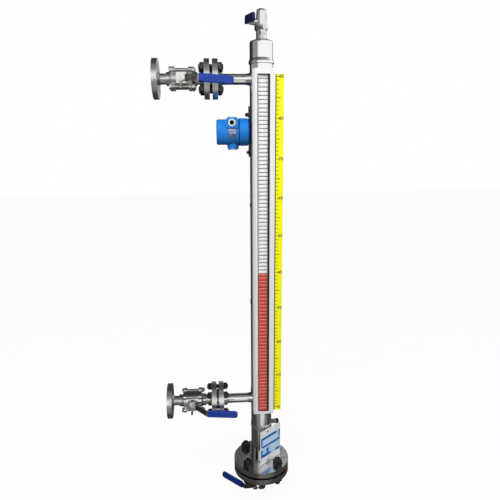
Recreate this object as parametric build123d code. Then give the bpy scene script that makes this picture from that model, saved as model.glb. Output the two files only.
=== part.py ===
from build123d import *
from math import cos, radians, sin, sqrt
import os

# Magnetic level gauge, millimetres, +Z up.
# Gauge frame: chamber axis at x = 0, lower process line at z = 0, indicator towards -Y.
# The files are written with the origin at the face centre of the lower process flange.

# Process lines
CENTRES = 900.0
FACE_TO_AXIS = 278.0
LINES = (0.0, CENTRES)
CUT = 1.0

# Small process flanges, four M12 studs
SF_OD = 100.0
SF_RIM = 14.0
SF_RF = 2.0
SF_RF_D = 58.0
SF_PCD = 75.0
SF_HOLE = 14.0
JOINT_HOLE = 13.5
STUD_R = 6.0
STUD_NUT_AF = 19.0
STUD_NUT_H = 10.8
STUD_OVER = 3.0
SEAL = 3.0

# Pipe between the flanges, with its welds and necks
PIPE_R = 13.45
PIPE_BORE = 10.8
STUB_WELD = 4.0
NECK_R = 19.5
NECK_L = 14.0
JOINT_LEFT = -131.0
JOINT_RIGHT = JOINT_LEFT + SEAL
NECK_END = JOINT_RIGHT + SF_RF + SF_RIM + NECK_L

# Chamber tube and its ends
CH_R = 30.15
CH_BORE = 27.4
CH_TOP = CENTRES + 39.0
CAP_STRAIGHT = 48.0
CAP_CONE = 10.0
CAP_SHOULDER = CH_TOP + CAP_STRAIGHT
CAP_TOP = CAP_SHOULDER + CAP_CONE
CAP_ROUND = 5.0
CAP_LIP = 3.0
NIPPLE_L = 20.5
NIPPLE_TOP = CAP_TOP + NIPPLE_L
BUSH = 4.0
RING_R = 33.0
RING_DROP = 2.0
RING_FLAT = 3.0
RING_TAPER = 11.0
FLARE_R = 21.0
FLARE_L = 15.0
FLARE_IN = 12.0
WELD = 3.0

# Bottom flange pair, four M16 studs
BF_OD = 165.0
BF_TOP = -200.0
BF_RIM = 16.0
BF_RF = 2.0
BF_RF_D = 102.0
BF_PCD = 125.0
BF_HOLE = 18.0
BSTUD_R = 8.0
BNUT_AF = 24.0
BNUT_H = 13.0
BSTUD_TOP_OVER = 8.0
BSTUD_LOW_OVER = 11.0
TUBE_IN = 5.0
DRAIN_IN = 12.0
SEAL_TOP = BF_TOP - BF_RIM - BF_RF
SEAL_LOW = SEAL_TOP - SEAL
BF_LOW = SEAL_LOW - BF_RF - BF_RIM

# Three-piece process ball valve, stem towards -Y
VALVE_X = -203.0
BARREL_R = 24.0
BODY_HALF = 17.0
BONNET_R = 12.0
PAD_Y = 31.0
PAD_T = 3.5
PAD_HALF = 13.0
GLAND_AF = 17.0
CAP_PLATE = 9.0
EAR_R = 7.5
CAP_CONE_R = 20.0
CAP_CONE_L = 5.0
CAP_HUB_R = 17.0
CAP_END = 39.0
SOCKET = 9.0
BOLT_OFF = 20.0
BOLT_R = 4.0
BOLT_GAP = 0.5
BOLT_AF = 13.0
BOLT_HEAD = 5.3
BOLT_NUT = 6.5
BOLT_OVER = 3.0
BALL_R = 15.0
BALL_BORE = 10.0
BALL_GAP = 0.3
SEAT_R = 16.5
SEAT_NEAR = 9.5
STEM_R = 5.0
STEM_SINK = 0.5
STEM_TIP = 50.0
STEM_NUT = 6.0
RUN_GAP = 0.05
HUB_Y = 38.0
STRIP = 3.0
STRIP_W = 16.0
STRIP_FOOT = 2.5
STOP_HALF = 3.0
STOP_REACH = 25.0
GRIP_Y = 72.0
GRIP_FROM = 44.0
GRIP_TO = 129.0
GRIP_W = 20.0
GRIP_T = 8.0
GRIP_ROUND = 2.5
GRIP_WALL = 8.0
SAG = 5.0

# Small ball valve for vent and drain
MINI_HEX = 32.0
MINI_R = 13.35
MINI_IN = 19.0
MINI_STEP = 7.0
MINI_OUT = 16.0
MINI_BORE = 5.0
MINI_BALL = 9.0
MINI_STEM = 3.0
MINI_BONNET_R = 8.0
MINI_BONNET_Y = 21.0
MINI_GLAND_AF = 14.0
MINI_HUB = 28.0
MINI_TIP = 37.0
MINI_NUT_AF = 10.0
MINI_NUT_H = 4.0
MINI_STRIP_W = 14.0
MINI_GRIP_Y = 47.0
MINI_FROM = 38.0
MINI_TO = 119.0
MINI_THREAD = 9.3
MINI_THREAD_IN = 8.0
MINI_THREAD_OUT = 6.0
VENT_Z = NIPPLE_TOP + MINI_IN
VENT_SAG = 8.0
VENT_TURN = 8.0
PLUG_R = 12.6
PLUG_H = 9.0
PLUG_DOME = 7.0
DRAIN_DROP = 54.0
DRAIN_Z = BF_LOW - DRAIN_DROP
DRAIN_TURN = 46.0
DRAIN_PIPE_R = 9.3

# Indicator with flaps
FRONT_Y = -58.4
BACK_Y = -31.15
CASE_LEFT = -28.0
CASE_RIGHT = 29.0
CASE_LOW = -20.5
CASE_TOP = CENTRES + 19.5
CASE_ROUND = 6.0
WALL = 1.5
WIN_HALF = 16.0
WIN_LOW = -13.5
WIN_TOP = CENTRES + 6.5
WIN_EDGE = 3.0
GLASS = 2.0
FLAP_PITCH = 10.0
FLAP_H = 9.4
FLAP_T = 3.0
FLAP_W = 24.0
FLAP_X = -1.0
FLAP_LOW = -14.5
FLAPS = int((WIN_TOP - WIN_LOW) / FLAP_PITCH)
RED = 41
FLAP_Y = -49.6
FLAP_ROOM = 0.4
RAIL_IN = 0.5
RAIL_T = 3.0
RAIL_LIP = 1.5
PIN_R = 0.8
PIN_L = 1.8
PIN_HOLE = 2.0
TURNING = (RED - 1, RED)
PLATE_T = 1.2
PLATE_FOLD = 18.0
PLATE_W = 20.0
PLATE_LOW = -9.3
PLATE_TOP = CENTRES + 5.6

# Float
LEVEL = FLAP_LOW + FLAP_PITCH * RED
FLOAT_R = 25.0
FLOAT_ABOVE = 50.0
FLOAT_BELOW = 130.0
FLOAT_WALL = 1.0
FLOAT_DOME = 10.0
MAGNET_BORE = 12.0
MAGNET_HALF = 12.0

# Transmitter head, axis along X
TX_Z = CENTRES - 131.5
TX_R = 33.0
TX_LEFT = -118.0
TX_STEP_L = -93.0
TX_STEP_R = -59.5
TX_RIGHT = -34.5
TX_WALL = 3.0
TX_NECK_R = 28.0
TX_NECK_L = 10.0
TX_PAD_T = 3.0
TX_PAD_IN = 4.0
TX_PAD_HALF = 20.0
COVER_L_R = 32.5
COVER_R_R = 35.3
COVER_EDGE = 3.0
COVER_GAP = 0.5
NOTCH = (8.0, 6.0, 6.0)
NOTCHES = ((0.0, -4.0), (4.0, 22.0))
ENTRY_X = -79.0
ENTRY_Z = TX_Z + 23.0
ENTRY_Y = -36.0
ENTRY_BACK = 6.0
ENTRY_RIGHT = -63.0
ENTRY_HALF_H = 13.5
ENTRY_ROUND = 6.0
GLAND_R = 8.5
GLAND_HEAD_R = 9.4
GLAND_BORE = 5.2
GLAND_IN = 14.0
GLAND_HEAD = 4.0
BOSS_X = -75.0
BOSS_R = 15.0
BOSS_FROM = 20.0
BOSS_END = 43.0
BOSS_BORE = 9.0
PLUG_IN = 8.0
PLUG_HEAD_R = 12.5
PLUG_HEAD_T = 2.5
BOARD_X = -78.0
BOARD_T = 1.6

# Bands, bracket and sensor tube behind the chamber
BAND_T = 1.0
BAND_W = 10.0
LUG_OUT = 3.5
LUG_DEEP = 8.0
LUG_BACK = 2.0
SCREW_R = 4.5
SCREW_L = 4.0
SCREW_OUT = (4.5, 4.5, 4.5, 4.5, 8.0)
SENSOR_R = 6.0
SENSOR_WALL = 1.0
SENSOR_END = 2.0
SENSOR_GAP = 0.5
SENSOR_Y = CH_R + BAND_T + SENSOR_GAP + SENSOR_R
SENSOR_LOW = -10.0
SENSOR_TOP = CENTRES + 5.0
BRACKET_LOW = TX_Z - 64.5
BRACKET_TOP = TX_Z + 65.5
BAND_LOW = 25.0
BAND_PITCH = 275.0
BRACKET_BANDS = (BRACKET_LOW + 12.0, BRACKET_TOP - 22.0)
BANDS = (BAND_LOW, BAND_LOW + BAND_PITCH, BAND_LOW + 2 * BAND_PITCH) + BRACKET_BANDS
BRACKET_T = 3.0
BRACKET_GAP = 0.5
SADDLE_IN = 24.0
WEB_X = 30.0
WEB_Y = 14.0

# Nameplate, facing front right
NP_N = (0.634, -0.773)
NP_OFF = 33.2
NP_SLIDE = 5.0
NP_W = 85.0
NP_LOW = -199.0
NP_TOP = -88.0
NP_TAB = -12.0
NP_RIVETS = (47.0, -49.0)
NP_T = 1.0
NP_CORNER = 3.0
RIVET_R = 1.5
RIVET_HEAD_R = 2.8
RIVET_HEAD = 1.0
TAB_HALF = 8.0
TAB_T = 2.0
TAB_EDGE = 3.0
BRIDGE_T = 5.0
CLAMP_HALF = 6.0
EARS = (6.0, 10.0)
EAR_T = 1.5
EAR_IN = 4.0
EAR_OUT = 54.0
CLAMP_X = 48.0
CLAMP_SCREW_R = 2.5
CLAMP_SCREW = (1.0, 18.0)
CLAMP_NUT_AF = 9.0
CLAMP_NUTS = ((1.0, 6.0), (11.5, 16.0))

MOVE = Pos(FACE_TO_AXIS, 0, 0)


def rod(r, a, b):
    """Cylinder of radius r from point a to point b."""
    run = Vector(*b) - Vector(*a)
    seat = Plane(origin=a, z_dir=run)
    return seat * Cylinder(r, run.length, align=(Align.CENTER, Align.CENTER, Align.MIN))


def pipe(r, bore, a, b):
    """Tube from point a to point b."""
    return rod(r, a, b) - rod(bore, a, b)


def bore_x(r, a, b):
    """Cylinder along X that cuts past both ends."""
    return rod(r, (a - CUT, 0, 0), (b + CUT, 0, 0))


def hexagon(af, a, b, turn=0.0):
    """Hexagonal bar across flats af from a to b."""
    run = Vector(*b) - Vector(*a)
    seat = Plane(origin=a, z_dir=run)
    face = seat * RegularPolygon(af / 2, 6, major_radius=False, rotation=turn)
    return extrude(face, run.length, dir=run)


def block(x0, x1, y0, y1, z0, z1):
    """Box between two corners."""
    middle = Pos((x0 + x1) / 2, (y0 + y1) / 2, (z0 + z1) / 2)
    return middle * Box(x1 - x0, y1 - y0, z1 - z0)


def area(x0, x1, y0, y1):
    """Rectangle between two corners, seen from above."""
    return Pos((x0 + x1) / 2, (y0 + y1) / 2) * Rectangle(x1 - x0, y1 - y0)


def turned_z(points):
    """Solid of revolution about Z from (radius, z) points."""
    corners = [(r, 0, z) for r, z in points]
    face = make_face(Polyline(*corners, close=True))
    return revolve(face, Axis.Z)


def turned_x(points):
    """Solid of revolution about X from (x, radius) points."""
    corners = [(x, r, 0) for x, r in points]
    face = make_face(Polyline(*corners, close=True))
    return revolve(face, Axis.X)


def square_spots(pcd):
    """The four hole places at 45 degrees on a pitch circle."""
    step = pcd / 2 * sin(radians(45))
    return [(a, b) for a in (-step, step) for b in (-step, step)]


def group(shapes):
    """Several separate solids in one file."""
    return Compound(children=[s if isinstance(s, Solid) else s.solids()[0] for s in shapes])


def put(name, shape):
    """Write one part in the shared frame."""
    export_step(MOVE * shape, "parts/" + name + ".step")


# Small flanges

def small_flange(x, side, hole):
    """Flange whose raised face lies at x and looks along side (-1 or 1)."""
    back = x - side * (SF_RF + SF_RIM)
    step = x - side * SF_RF
    body = rod(SF_OD / 2, (back, 0, 0), (step, 0, 0)) + rod(SF_RF_D / 2, (step, 0, 0), (x, 0, 0))
    for y, z in square_spots(SF_PCD):
        body -= rod(hole / 2, (back, y, z), (x, y, z))
    return body


def stub_weld(x, side):
    """Fillet weld behind a flange, at x, running along side."""
    root = PIPE_R + STUB_WELD
    return turned_x([(x, 0), (x, root), (x + side * STUB_WELD, PIPE_R), (x + side * STUB_WELD, 0)])


def end_flange(z):
    """Process end flange with its welded stub pipe."""
    face = -FACE_TO_AXIS
    end = VALVE_X - CAP_END + SOCKET
    body = small_flange(face, -1, SF_HOLE) + rod(PIPE_R, (face, 0, 0), (end, 0, 0))
    body += stub_weld(face + SF_RF + SF_RIM, 1)
    return Pos(0, 0, z) * (body - bore_x(PIPE_BORE, face, end))


def valve_side_flange(z):
    """Flange with stub pipe between the valve and the joint."""
    start = VALVE_X + CAP_END - SOCKET
    body = small_flange(JOINT_LEFT, 1, JOINT_HOLE) + rod(PIPE_R, (start, 0, 0), (JOINT_LEFT, 0, 0))
    body += stub_weld(JOINT_LEFT - SF_RF - SF_RIM, -1)
    return Pos(0, 0, z) * (body - bore_x(PIPE_BORE, start, JOINT_LEFT))


def nozzle_flange(z):
    """Weld-neck flange on the chamber side of the joint."""
    back = JOINT_RIGHT + SF_RF + SF_RIM
    neck = turned_x([(back, 0), (back, NECK_R), (NECK_END, PIPE_R), (NECK_END, 0)])
    body = small_flange(JOINT_RIGHT, -1, JOINT_HOLE) + neck
    return Pos(0, 0, z) * (body - bore_x(PIPE_BORE, JOINT_RIGHT, NECK_END))


def nozzle_pipe(z):
    """Nozzle with its flared foot, cut to sit on the chamber."""
    foot = -CH_R - FLARE_L
    points = [(NECK_END, 0), (NECK_END, PIPE_R), (foot, PIPE_R)]
    for k in range(1, 7):
        t = k / 6
        points.append((foot + (FLARE_L + FLARE_IN) * t, PIPE_R + (FLARE_R - PIPE_R) * t * t))
    points.append((foot + FLARE_L + FLARE_IN, 0))
    body = turned_x(points) - bore_x(PIPE_BORE, NECK_END, 0)
    body -= rod(CH_R, (0, 0, -2 * FLARE_R), (0, 0, 2 * FLARE_R))
    return Pos(0, 0, z) * body


def flange_gasket(z):
    return Pos(0, 0, z) * pipe(SF_RF_D / 2, PIPE_R, (JOINT_LEFT, 0, 0), (JOINT_RIGHT, 0, 0))


def joint_studs():
    """Studs and nuts of the two flange joints."""
    left = JOINT_LEFT - SF_RF - SF_RIM
    right = JOINT_RIGHT + SF_RF + SF_RIM
    over = STUD_NUT_H + STUD_OVER
    studs = []
    nuts = []
    for line in LINES:
        for y, dz in square_spots(SF_PCD):
            z = line + dz
            studs.append(rod(STUD_R, (left - over, y, z), (right + over, y, z)))
            for a, b in ((left - STUD_NUT_H, left), (right, right + STUD_NUT_H)):
                nut = hexagon(STUD_NUT_AF, (a, y, z), (b, y, z))
                nuts.append(nut - rod(STUD_R, (a - CUT, y, z), (b + CUT, y, z)))
    return group(studs), group(nuts)


# Process ball valve, built round the ball centre with the pipe along X and the stem towards -Y

def valve_body():
    """Middle piece with seat bore, bonnet, mounting pad and gland nut."""
    body = rod(BARREL_R, (-BODY_HALF, 0, 0), (BODY_HALF, 0, 0))
    body += rod(BONNET_R, (0, -SEAT_R, 0), (0, -PAD_Y, 0))
    body += block(-PAD_HALF, PAD_HALF, -PAD_Y - PAD_T, -PAD_Y, -PAD_HALF, PAD_HALF)
    body += hexagon(GLAND_AF, (0, -PAD_Y - PAD_T, 0), (0, -HUB_Y, 0))
    body -= bore_x(SEAT_R, -BODY_HALF, BODY_HALF)
    body -= rod(STEM_R + RUN_GAP, (0, -BALL_BORE, 0), (0, -HUB_Y - CUT, 0))
    return body


def valve_end_cap(side):
    """End piece with four bolt ears and a pipe socket."""
    start = BODY_HALF + CAP_PLATE
    spots = [(y, z) for y in (-BOLT_OFF, BOLT_OFF) for z in (-BOLT_OFF, BOLT_OFF)]
    body = rod(BARREL_R, (BODY_HALF, 0, 0), (start, 0, 0))
    for y, z in spots:
        body += rod(EAR_R, (BODY_HALF, y, z), (start, y, z))
    points = [(start, 0), (start, CAP_CONE_R), (start + CAP_CONE_L, CAP_HUB_R)]
    body += turned_x(points + [(CAP_END, CAP_HUB_R), (CAP_END, 0)])
    body -= bore_x(BALL_BORE, BODY_HALF, CAP_END)
    body -= rod(PIPE_R, (CAP_END - SOCKET, 0, 0), (CAP_END + CUT, 0, 0))
    for y, z in spots:
        body -= rod(BOLT_R + BOLT_GAP, (BODY_HALF - CUT, y, z), (start + CUT, y, z))
    return body if side > 0 else Rot(0, 0, 180) * body


def valve_seat(side):
    """Seat ring with a hollow face for the ball."""
    reach = BALL_R + BALL_GAP
    points = [(SEAT_NEAR, SEAT_R), (BODY_HALF, SEAT_R), (BODY_HALF, BALL_BORE)]
    for x in (sqrt(reach ** 2 - BALL_BORE ** 2), SEAT_NEAR * 1.1, SEAT_NEAR):
        points.append((x, sqrt(reach ** 2 - x ** 2)))
    body = turned_x(points)
    return body if side > 0 else Rot(0, 0, 180) * body


def valve_bolt(y, z):
    """Through bolt with its nut."""
    outer = BODY_HALF + CAP_PLATE
    body = hexagon(BOLT_AF, (-outer - BOLT_HEAD, y, z), (-outer, y, z))
    body += rod(BOLT_R, (-outer, y, z), (outer + BOLT_NUT + BOLT_OVER, y, z))
    body += hexagon(BOLT_AF, (outer, y, z), (outer + BOLT_NUT, y, z))
    return body


def strip(points, width):
    """Flat strip bent along (x, outward) points, standing towards -Y."""
    sides = []
    for side in (1, -1):
        row = []
        for i, (x, out) in enumerate(points):
            before = points[max(i - 1, 0)]
            after = points[min(i + 1, len(points) - 1)]
            one = Vector(x - before[0], out - before[1], 0)
            two = Vector(after[0] - x, after[1] - out, 0)
            one = one.normalized() if one.length else two.normalized()
            two = two.normalized() if two.length else one
            lean = (one + two).normalized()
            reach = STRIP / 2 / max(lean.dot(one), 0.3)
            row.append((x - lean.Y * reach * side, -(out + lean.X * reach * side)))
        sides.append(row)
    outline = sides[0] + sides[1][::-1]
    face = make_face(Polyline(*[(x, y, -width / 2) for x, y in outline], close=True))
    return extrude(face, width, dir=(0, 0, 1))


def lever_pair(hub, out, start, stop, stem_r, width, stop_reach=0.0):
    """Cranked lever strip with its stop tab, and its plastic grip, pointing along +X."""
    rise = out - hub - STRIP / 2
    mid = hub + STRIP / 2
    foot = width / 2 + STRIP_FOOT
    path = [(-width / 2, mid), (foot, mid), (foot + rise * 0.95, out), (stop - GRIP_WALL, out)]
    bar = strip(path, width)
    bar = fillet(bar.edges().filter_by(Axis.Y).sort_by(Axis.X)[:2], width / 2 - 1)
    if stop_reach:
        bar += block(-STOP_HALF, STOP_HALF, -hub - STRIP, -hub, -stop_reach, -width / 4)
    bar -= rod(stem_r, (0, 0, 0), (0, -out, 0))
    shape = Pos((start + stop) / 2, -out, 0) * Box(stop - start, GRIP_T, GRIP_W)
    upright = shape.edges().filter_by(Axis.Y).sort_by(Axis.X)
    shape = fillet(upright[2:], GRIP_W / 2 - 2)
    long_edges = shape.edges().filter_by(Axis.X)
    shape = fillet(long_edges, GRIP_ROUND)
    return bar, shape - bar


def ball_stem(ball_r, bore, stem_r, hub, nut_af, nut_h, tip):
    """Ball, stem and stem nut, made as one piece."""
    body = Sphere(ball_r) - rod(bore, (-ball_r, 0, 0), (ball_r, 0, 0))
    body += rod(stem_r, (0, -sqrt(ball_r ** 2 - stem_r ** 2) + STEM_SINK, 0), (0, -tip, 0))
    top = hub + STRIP
    body += hexagon(nut_af, (0, -top, 0), (0, -top - nut_h, 0))
    return body


# Small ball valve, pipe along +X towards its outlet, stem towards -Y

def mini_body():
    body = hexagon(MINI_HEX, (-MINI_IN, 0, 0), (-MINI_STEP, 0, 0))
    body += rod(MINI_R, (-MINI_STEP, 0, 0), (MINI_OUT, 0, 0))
    body += rod(MINI_BONNET_R, (0, -MINI_BALL, 0), (0, -MINI_BONNET_Y, 0))
    body += hexagon(MINI_GLAND_AF, (0, -MINI_BONNET_Y, 0), (0, -MINI_HUB, 0))
    body -= Sphere(MINI_BALL + BALL_GAP)
    body -= bore_x(MINI_BORE, -MINI_IN, MINI_OUT)
    body -= rod(MINI_THREAD, (-MINI_IN - CUT, 0, 0), (MINI_THREAD_IN - MINI_IN, 0, 0))
    body -= rod(MINI_THREAD, (MINI_OUT - MINI_THREAD_OUT, 0, 0), (MINI_OUT + CUT, 0, 0))
    body -= rod(MINI_STEM + RUN_GAP, (0, -MINI_BORE, 0), (0, -MINI_HUB - CUT, 0))
    return body


def mini_places():
    """Seats of the vent and drain valves."""
    a = radians(VENT_TURN)
    vent = Plane(origin=(0, 0, VENT_Z), x_dir=(0, 0, 1), z_dir=(-sin(a), cos(a), 0))
    b = radians(DRAIN_TURN)
    drain = Plane(origin=(0, 0, DRAIN_Z), x_dir=(0, 0, -1), z_dir=(sin(b), -cos(b), 0))
    return {"vent": vent, "drain": drain}


# Chamber

def chamber_tube():
    body = pipe(CH_R, CH_BORE, (0, 0, SEAL_TOP + TUBE_IN), (0, 0, CH_TOP))
    for z in LINES:
        body -= rod(PIPE_BORE, (-CH_R - CUT, 0, z), (0, 0, z))
    return body


def top_reducer():
    """Reducer with the flared ring that joins it to the chamber."""
    lip = PIPE_R + CAP_LIP
    outer = [(CH_BORE, CH_TOP), (CH_R, CH_TOP), (CH_R, CH_TOP - RING_DROP), (RING_R, CH_TOP - RING_DROP)]
    outer += [(RING_R, CH_TOP + RING_FLAT), (CH_R, CH_TOP + RING_TAPER), (CH_R, CAP_SHOULDER)]
    for k in range(1, 4):
        a = radians(20 * k)
        outer.append((CH_R - CAP_ROUND * (1 - cos(a)), CAP_SHOULDER + CAP_ROUND * sin(a)))
    outer += [(lip, CAP_TOP - CAP_LIP / 2), (PIPE_R, CAP_TOP), (PIPE_BORE, CAP_TOP)]
    outer += [(PIPE_BORE, CAP_SHOULDER + CAP_LIP), (CH_BORE, CAP_SHOULDER - CAP_LIP)]
    return turned_z(outer)


def vent_nipple():
    """Pipe end with a bushing that screws into the vent valve."""
    bush = NIPPLE_TOP - BUSH
    body = pipe(PIPE_R, PIPE_BORE, (0, 0, CAP_TOP), (0, 0, bush))
    body += rod(PIPE_R, (0, 0, bush), (0, 0, NIPPLE_TOP))
    body += rod(MINI_THREAD, (0, 0, NIPPLE_TOP), (0, 0, NIPPLE_TOP + MINI_THREAD_IN))
    body -= rod(MINI_BORE, (0, 0, bush - CUT), (0, 0, NIPPLE_TOP + MINI_THREAD_IN + CUT))
    return body


def vent_plug():
    """Domed plug in the outlet of the vent valve."""
    base = VENT_Z + MINI_OUT
    low = base - MINI_THREAD_OUT
    points = [(0, low), (MINI_THREAD, low), (MINI_THREAD, base), (PLUG_R, base), (PLUG_R, base + PLUG_H)]
    for k in range(1, 6):
        a = radians(18 * k)
        points.append((PLUG_R * cos(a) if k < 5 else 0, base + PLUG_H + PLUG_DOME * sin(a)))
    return turned_z(points)


def big_flange(rim_top, face, bore):
    """Bottom flange disc from its rim top or bottom to its raised face."""
    reach = 2 * BF_RIM
    body = rod(BF_OD / 2, (0, 0, rim_top), (0, 0, face + (BF_RF if face < rim_top else -BF_RF)))
    body += rod(BF_RF_D / 2, (0, 0, rim_top), (0, 0, face))
    body -= rod(bore, (0, 0, rim_top - reach), (0, 0, rim_top + reach))
    for x, y in square_spots(BF_PCD):
        body -= rod(BF_HOLE / 2, (x, y, rim_top - reach), (x, y, rim_top + reach))
    return body


def chamber_flange():
    """Upper bottom flange with its fillet weld to the tube."""
    body = big_flange(BF_TOP, SEAL_TOP, CH_R)
    return body + turned_z([(CH_R, BF_TOP), (CH_R + WELD, BF_TOP), (CH_R, BF_TOP + WELD)])


def bottom_fasteners():
    """Studs and nuts of the bottom flange pair."""
    studs = []
    nuts = []
    top = BF_TOP + BNUT_H
    low = BF_LOW - BNUT_H
    for x, y in square_spots(BF_PCD):
        studs.append(rod(BSTUD_R, (x, y, low - BSTUD_LOW_OVER), (x, y, top + BSTUD_TOP_OVER)))
        for a, b in ((BF_TOP, top), (low, BF_LOW)):
            nut = hexagon(BNUT_AF, (x, y, a), (x, y, b), 15)
            nuts.append(nut - rod(BSTUD_R, (x, y, a - CUT), (x, y, b + CUT)))
    return group(studs), group(nuts)


def drain_nipple():
    """Pipe from the blind flange into the drain valve."""
    low = DRAIN_Z + MINI_IN - MINI_THREAD_IN
    return pipe(DRAIN_PIPE_R, MINI_BORE, (0, 0, low), (0, 0, BF_LOW + DRAIN_IN))


# Float

def float_solid(r, inset):
    low = LEVEL - FLOAT_BELOW + inset
    top = LEVEL + FLOAT_ABOVE - inset
    points = [(0, low)]
    for k in range(1, 5):
        a = radians(22.5 * k)
        points.append((r * sin(a), low + FLOAT_DOME * (1 - cos(a))))
    for k in range(0, 4):
        a = radians(22.5 * k)
        points.append((r * cos(a), top - FLOAT_DOME * (1 - sin(a))))
    points.append((0, top))
    return turned_z(points)


def float_shell():
    """Closed float with round ends."""
    return float_solid(FLOAT_R, 0) - float_solid(FLOAT_R - FLOAT_WALL, FLOAT_WALL)


def float_magnet():
    return pipe(FLOAT_R - FLOAT_WALL, MAGNET_BORE, (0, 0, LEVEL - MAGNET_HALF), (0, 0, LEVEL + MAGNET_HALF))


# Indicator

CASE_IN = (CASE_LEFT + WALL, CASE_RIGHT - WALL)
ROOM = (WIN_LOW - WIN_EDGE, WIN_TOP + WIN_EDGE)


def indicator_housing():
    """Long case with a framed window."""
    body = block(CASE_LEFT, CASE_RIGHT, FRONT_Y, BACK_Y, CASE_LOW, CASE_TOP)
    corners = body.edges().filter_by(Axis.Y).sort_by(Axis.Z)[2:]
    body = fillet(corners, CASE_ROUND)
    body -= block(*CASE_IN, FRONT_Y + WALL, BACK_Y - WALL, *ROOM)
    body -= block(-WIN_HALF, WIN_HALF, FRONT_Y - CUT, FRONT_Y + WALL + CUT, WIN_LOW, WIN_TOP)
    return body


def indicator_window():
    return block(*CASE_IN, FRONT_Y + WALL, FRONT_Y + WALL + GLASS, *ROOM)


def flap_carrier():
    """Channel whose two rails hold the flap pins."""
    front = FRONT_Y + WALL + GLASS
    half = FLAP_W / 2 + RAIL_IN
    side = half + RAIL_T
    body = block(*CASE_IN, front, front + RAIL_LIP, *ROOM)
    body += block(FLAP_X - side, FLAP_X + side, front, BACK_Y - WALL, *ROOM)
    play = (FLAP_PITCH - FLAP_H) / 2
    low = FLAP_LOW + play - FLAP_ROOM
    top = FLAP_LOW + FLAPS * FLAP_PITCH - play + FLAP_ROOM
    body -= block(FLAP_X - half, FLAP_X + half, front - CUT, BACK_Y - WALL - CUT, low, top)
    for number in TURNING:
        z = flap_height(number)
        reach = half + PIN_HOLE
        body -= rod(PIN_R + RUN_GAP, (FLAP_X - reach, FLAP_Y, z), (FLAP_X + reach, FLAP_Y, z))
    return body


def flap_height(number):
    return FLAP_LOW + FLAP_PITCH * (number + 0.5)


def flap(number):
    """One two-coloured flap."""
    return Pos(FLAP_X, FLAP_Y, flap_height(number)) * Box(FLAP_W, FLAP_T, FLAP_H)


def pinned_flap(number):
    """A flap with the pins that turn in the rails."""
    z = flap_height(number)
    reach = FLAP_W / 2 + RAIL_IN + PIN_L
    return flap(number) + rod(PIN_R, (FLAP_X - reach, FLAP_Y, z), (FLAP_X + reach, FLAP_Y, z))


def scale_plate():
    """Ruler plate folded from a strip that lies on the side of the case."""
    fold = CASE_RIGHT + PLATE_T
    body = block(fold, fold + PLATE_W, FRONT_Y, FRONT_Y + PLATE_T, PLATE_LOW, PLATE_TOP)
    return body + block(CASE_RIGHT, fold, FRONT_Y, FRONT_Y + PLATE_FOLD, PLATE_LOW, PLATE_TOP)


def strap_bands():
    """Bands round the chamber, each with a screw box and a clip for the sensor tube."""
    bands = []
    for z, screw_out in zip(BANDS, SCREW_OUT):
        low = z - BAND_W / 2
        top = z + BAND_W / 2
        ring = pipe(CH_R + BAND_T, CH_R, (0, 0, low), (0, 0, top))
        clip = pipe(SENSOR_R + BAND_T, SENSOR_R, (0, SENSOR_Y, low), (0, SENSOR_Y, top))
        ring += clip - rod(CH_R, (0, 0, low), (0, 0, top))
        ring -= rod(SENSOR_R, (0, SENSOR_Y, low), (0, SENSOR_Y, top))
        side = -1 if z > BRACKET_LOW else 1
        x = side * (CH_R + BAND_T + screw_out)
        lug_x = side * (CH_R + BAND_T + screw_out - SCREW_R + LUG_OUT)
        lug = block(min(lug_x, 0), max(lug_x, 0), LUG_BACK - LUG_DEEP, LUG_BACK, low, top)
        screw = rod(SCREW_R, (x, -LUG_DEEP, z), (x, SCREW_L - LUG_DEEP, z))
        bands.append(ring + (lug - rod(CH_R, (0, 0, low), (0, 0, top))) + screw)
    return group(bands)


# Transmitter head

def transmitter_body():
    """Middle of the head with cable entry block, bottom boss and rear pad."""
    z = TX_Z
    body = rod(TX_R, (TX_STEP_L, 0, z), (TX_STEP_R, 0, z))
    entry = block(TX_STEP_L, ENTRY_RIGHT, ENTRY_Y, ENTRY_BACK, -ENTRY_HALF_H, ENTRY_HALF_H)
    body += Pos(0, 0, ENTRY_Z) * fillet(entry.edges().filter_by(Axis.Y), ENTRY_ROUND)
    body += rod(BOSS_R, (BOSS_X, 0, z - BOSS_FROM), (BOSS_X, 0, z - BOSS_END))
    pad = (TX_STEP_L + TX_PAD_IN, TX_STEP_R - TX_PAD_IN)
    body += block(*pad, TX_R / 2, TX_R + TX_PAD_T, z - TX_PAD_HALF, z + TX_PAD_HALF)
    left = TX_STEP_L - TX_NECK_L
    right = TX_STEP_R + TX_NECK_L
    body += rod(TX_NECK_R, (left, 0, z), (right, 0, z))
    body -= rod(TX_NECK_R - TX_WALL, (left - CUT, 0, z), (right + CUT, 0, z))
    body -= rod(GLAND_R, (ENTRY_X, 0, ENTRY_Z), (ENTRY_X, ENTRY_Y - CUT, ENTRY_Z))
    body -= rod(BOSS_BORE, (BOSS_X, 0, z - BOSS_FROM), (BOSS_X, 0, z - BOSS_END - CUT))
    return body


def transmitter_cover(side):
    """Screwed cover with two notches for a key."""
    r = COVER_L_R if side < 0 else COVER_R_R
    near = TX_STEP_L if side < 0 else TX_STEP_R
    far = TX_LEFT if side < 0 else TX_RIGHT
    edge = far - side * COVER_EDGE
    body = turned_x([(near, 0), (near, r), (edge, r), (far, r - COVER_EDGE), (far, 0)])
    body -= rod(TX_NECK_R, (near, 0, 0), (near + side * (TX_NECK_L + COVER_GAP), 0, 0))
    body -= rod(TX_NECK_R - TX_WALL, (near, 0, 0), (edge - side * CUT, 0, 0))
    for y, dz in NOTCHES:
        body -= Pos(far, y - r, dz) * Box(*NOTCH)
    return Pos(0, 0, TX_Z) * body


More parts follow.
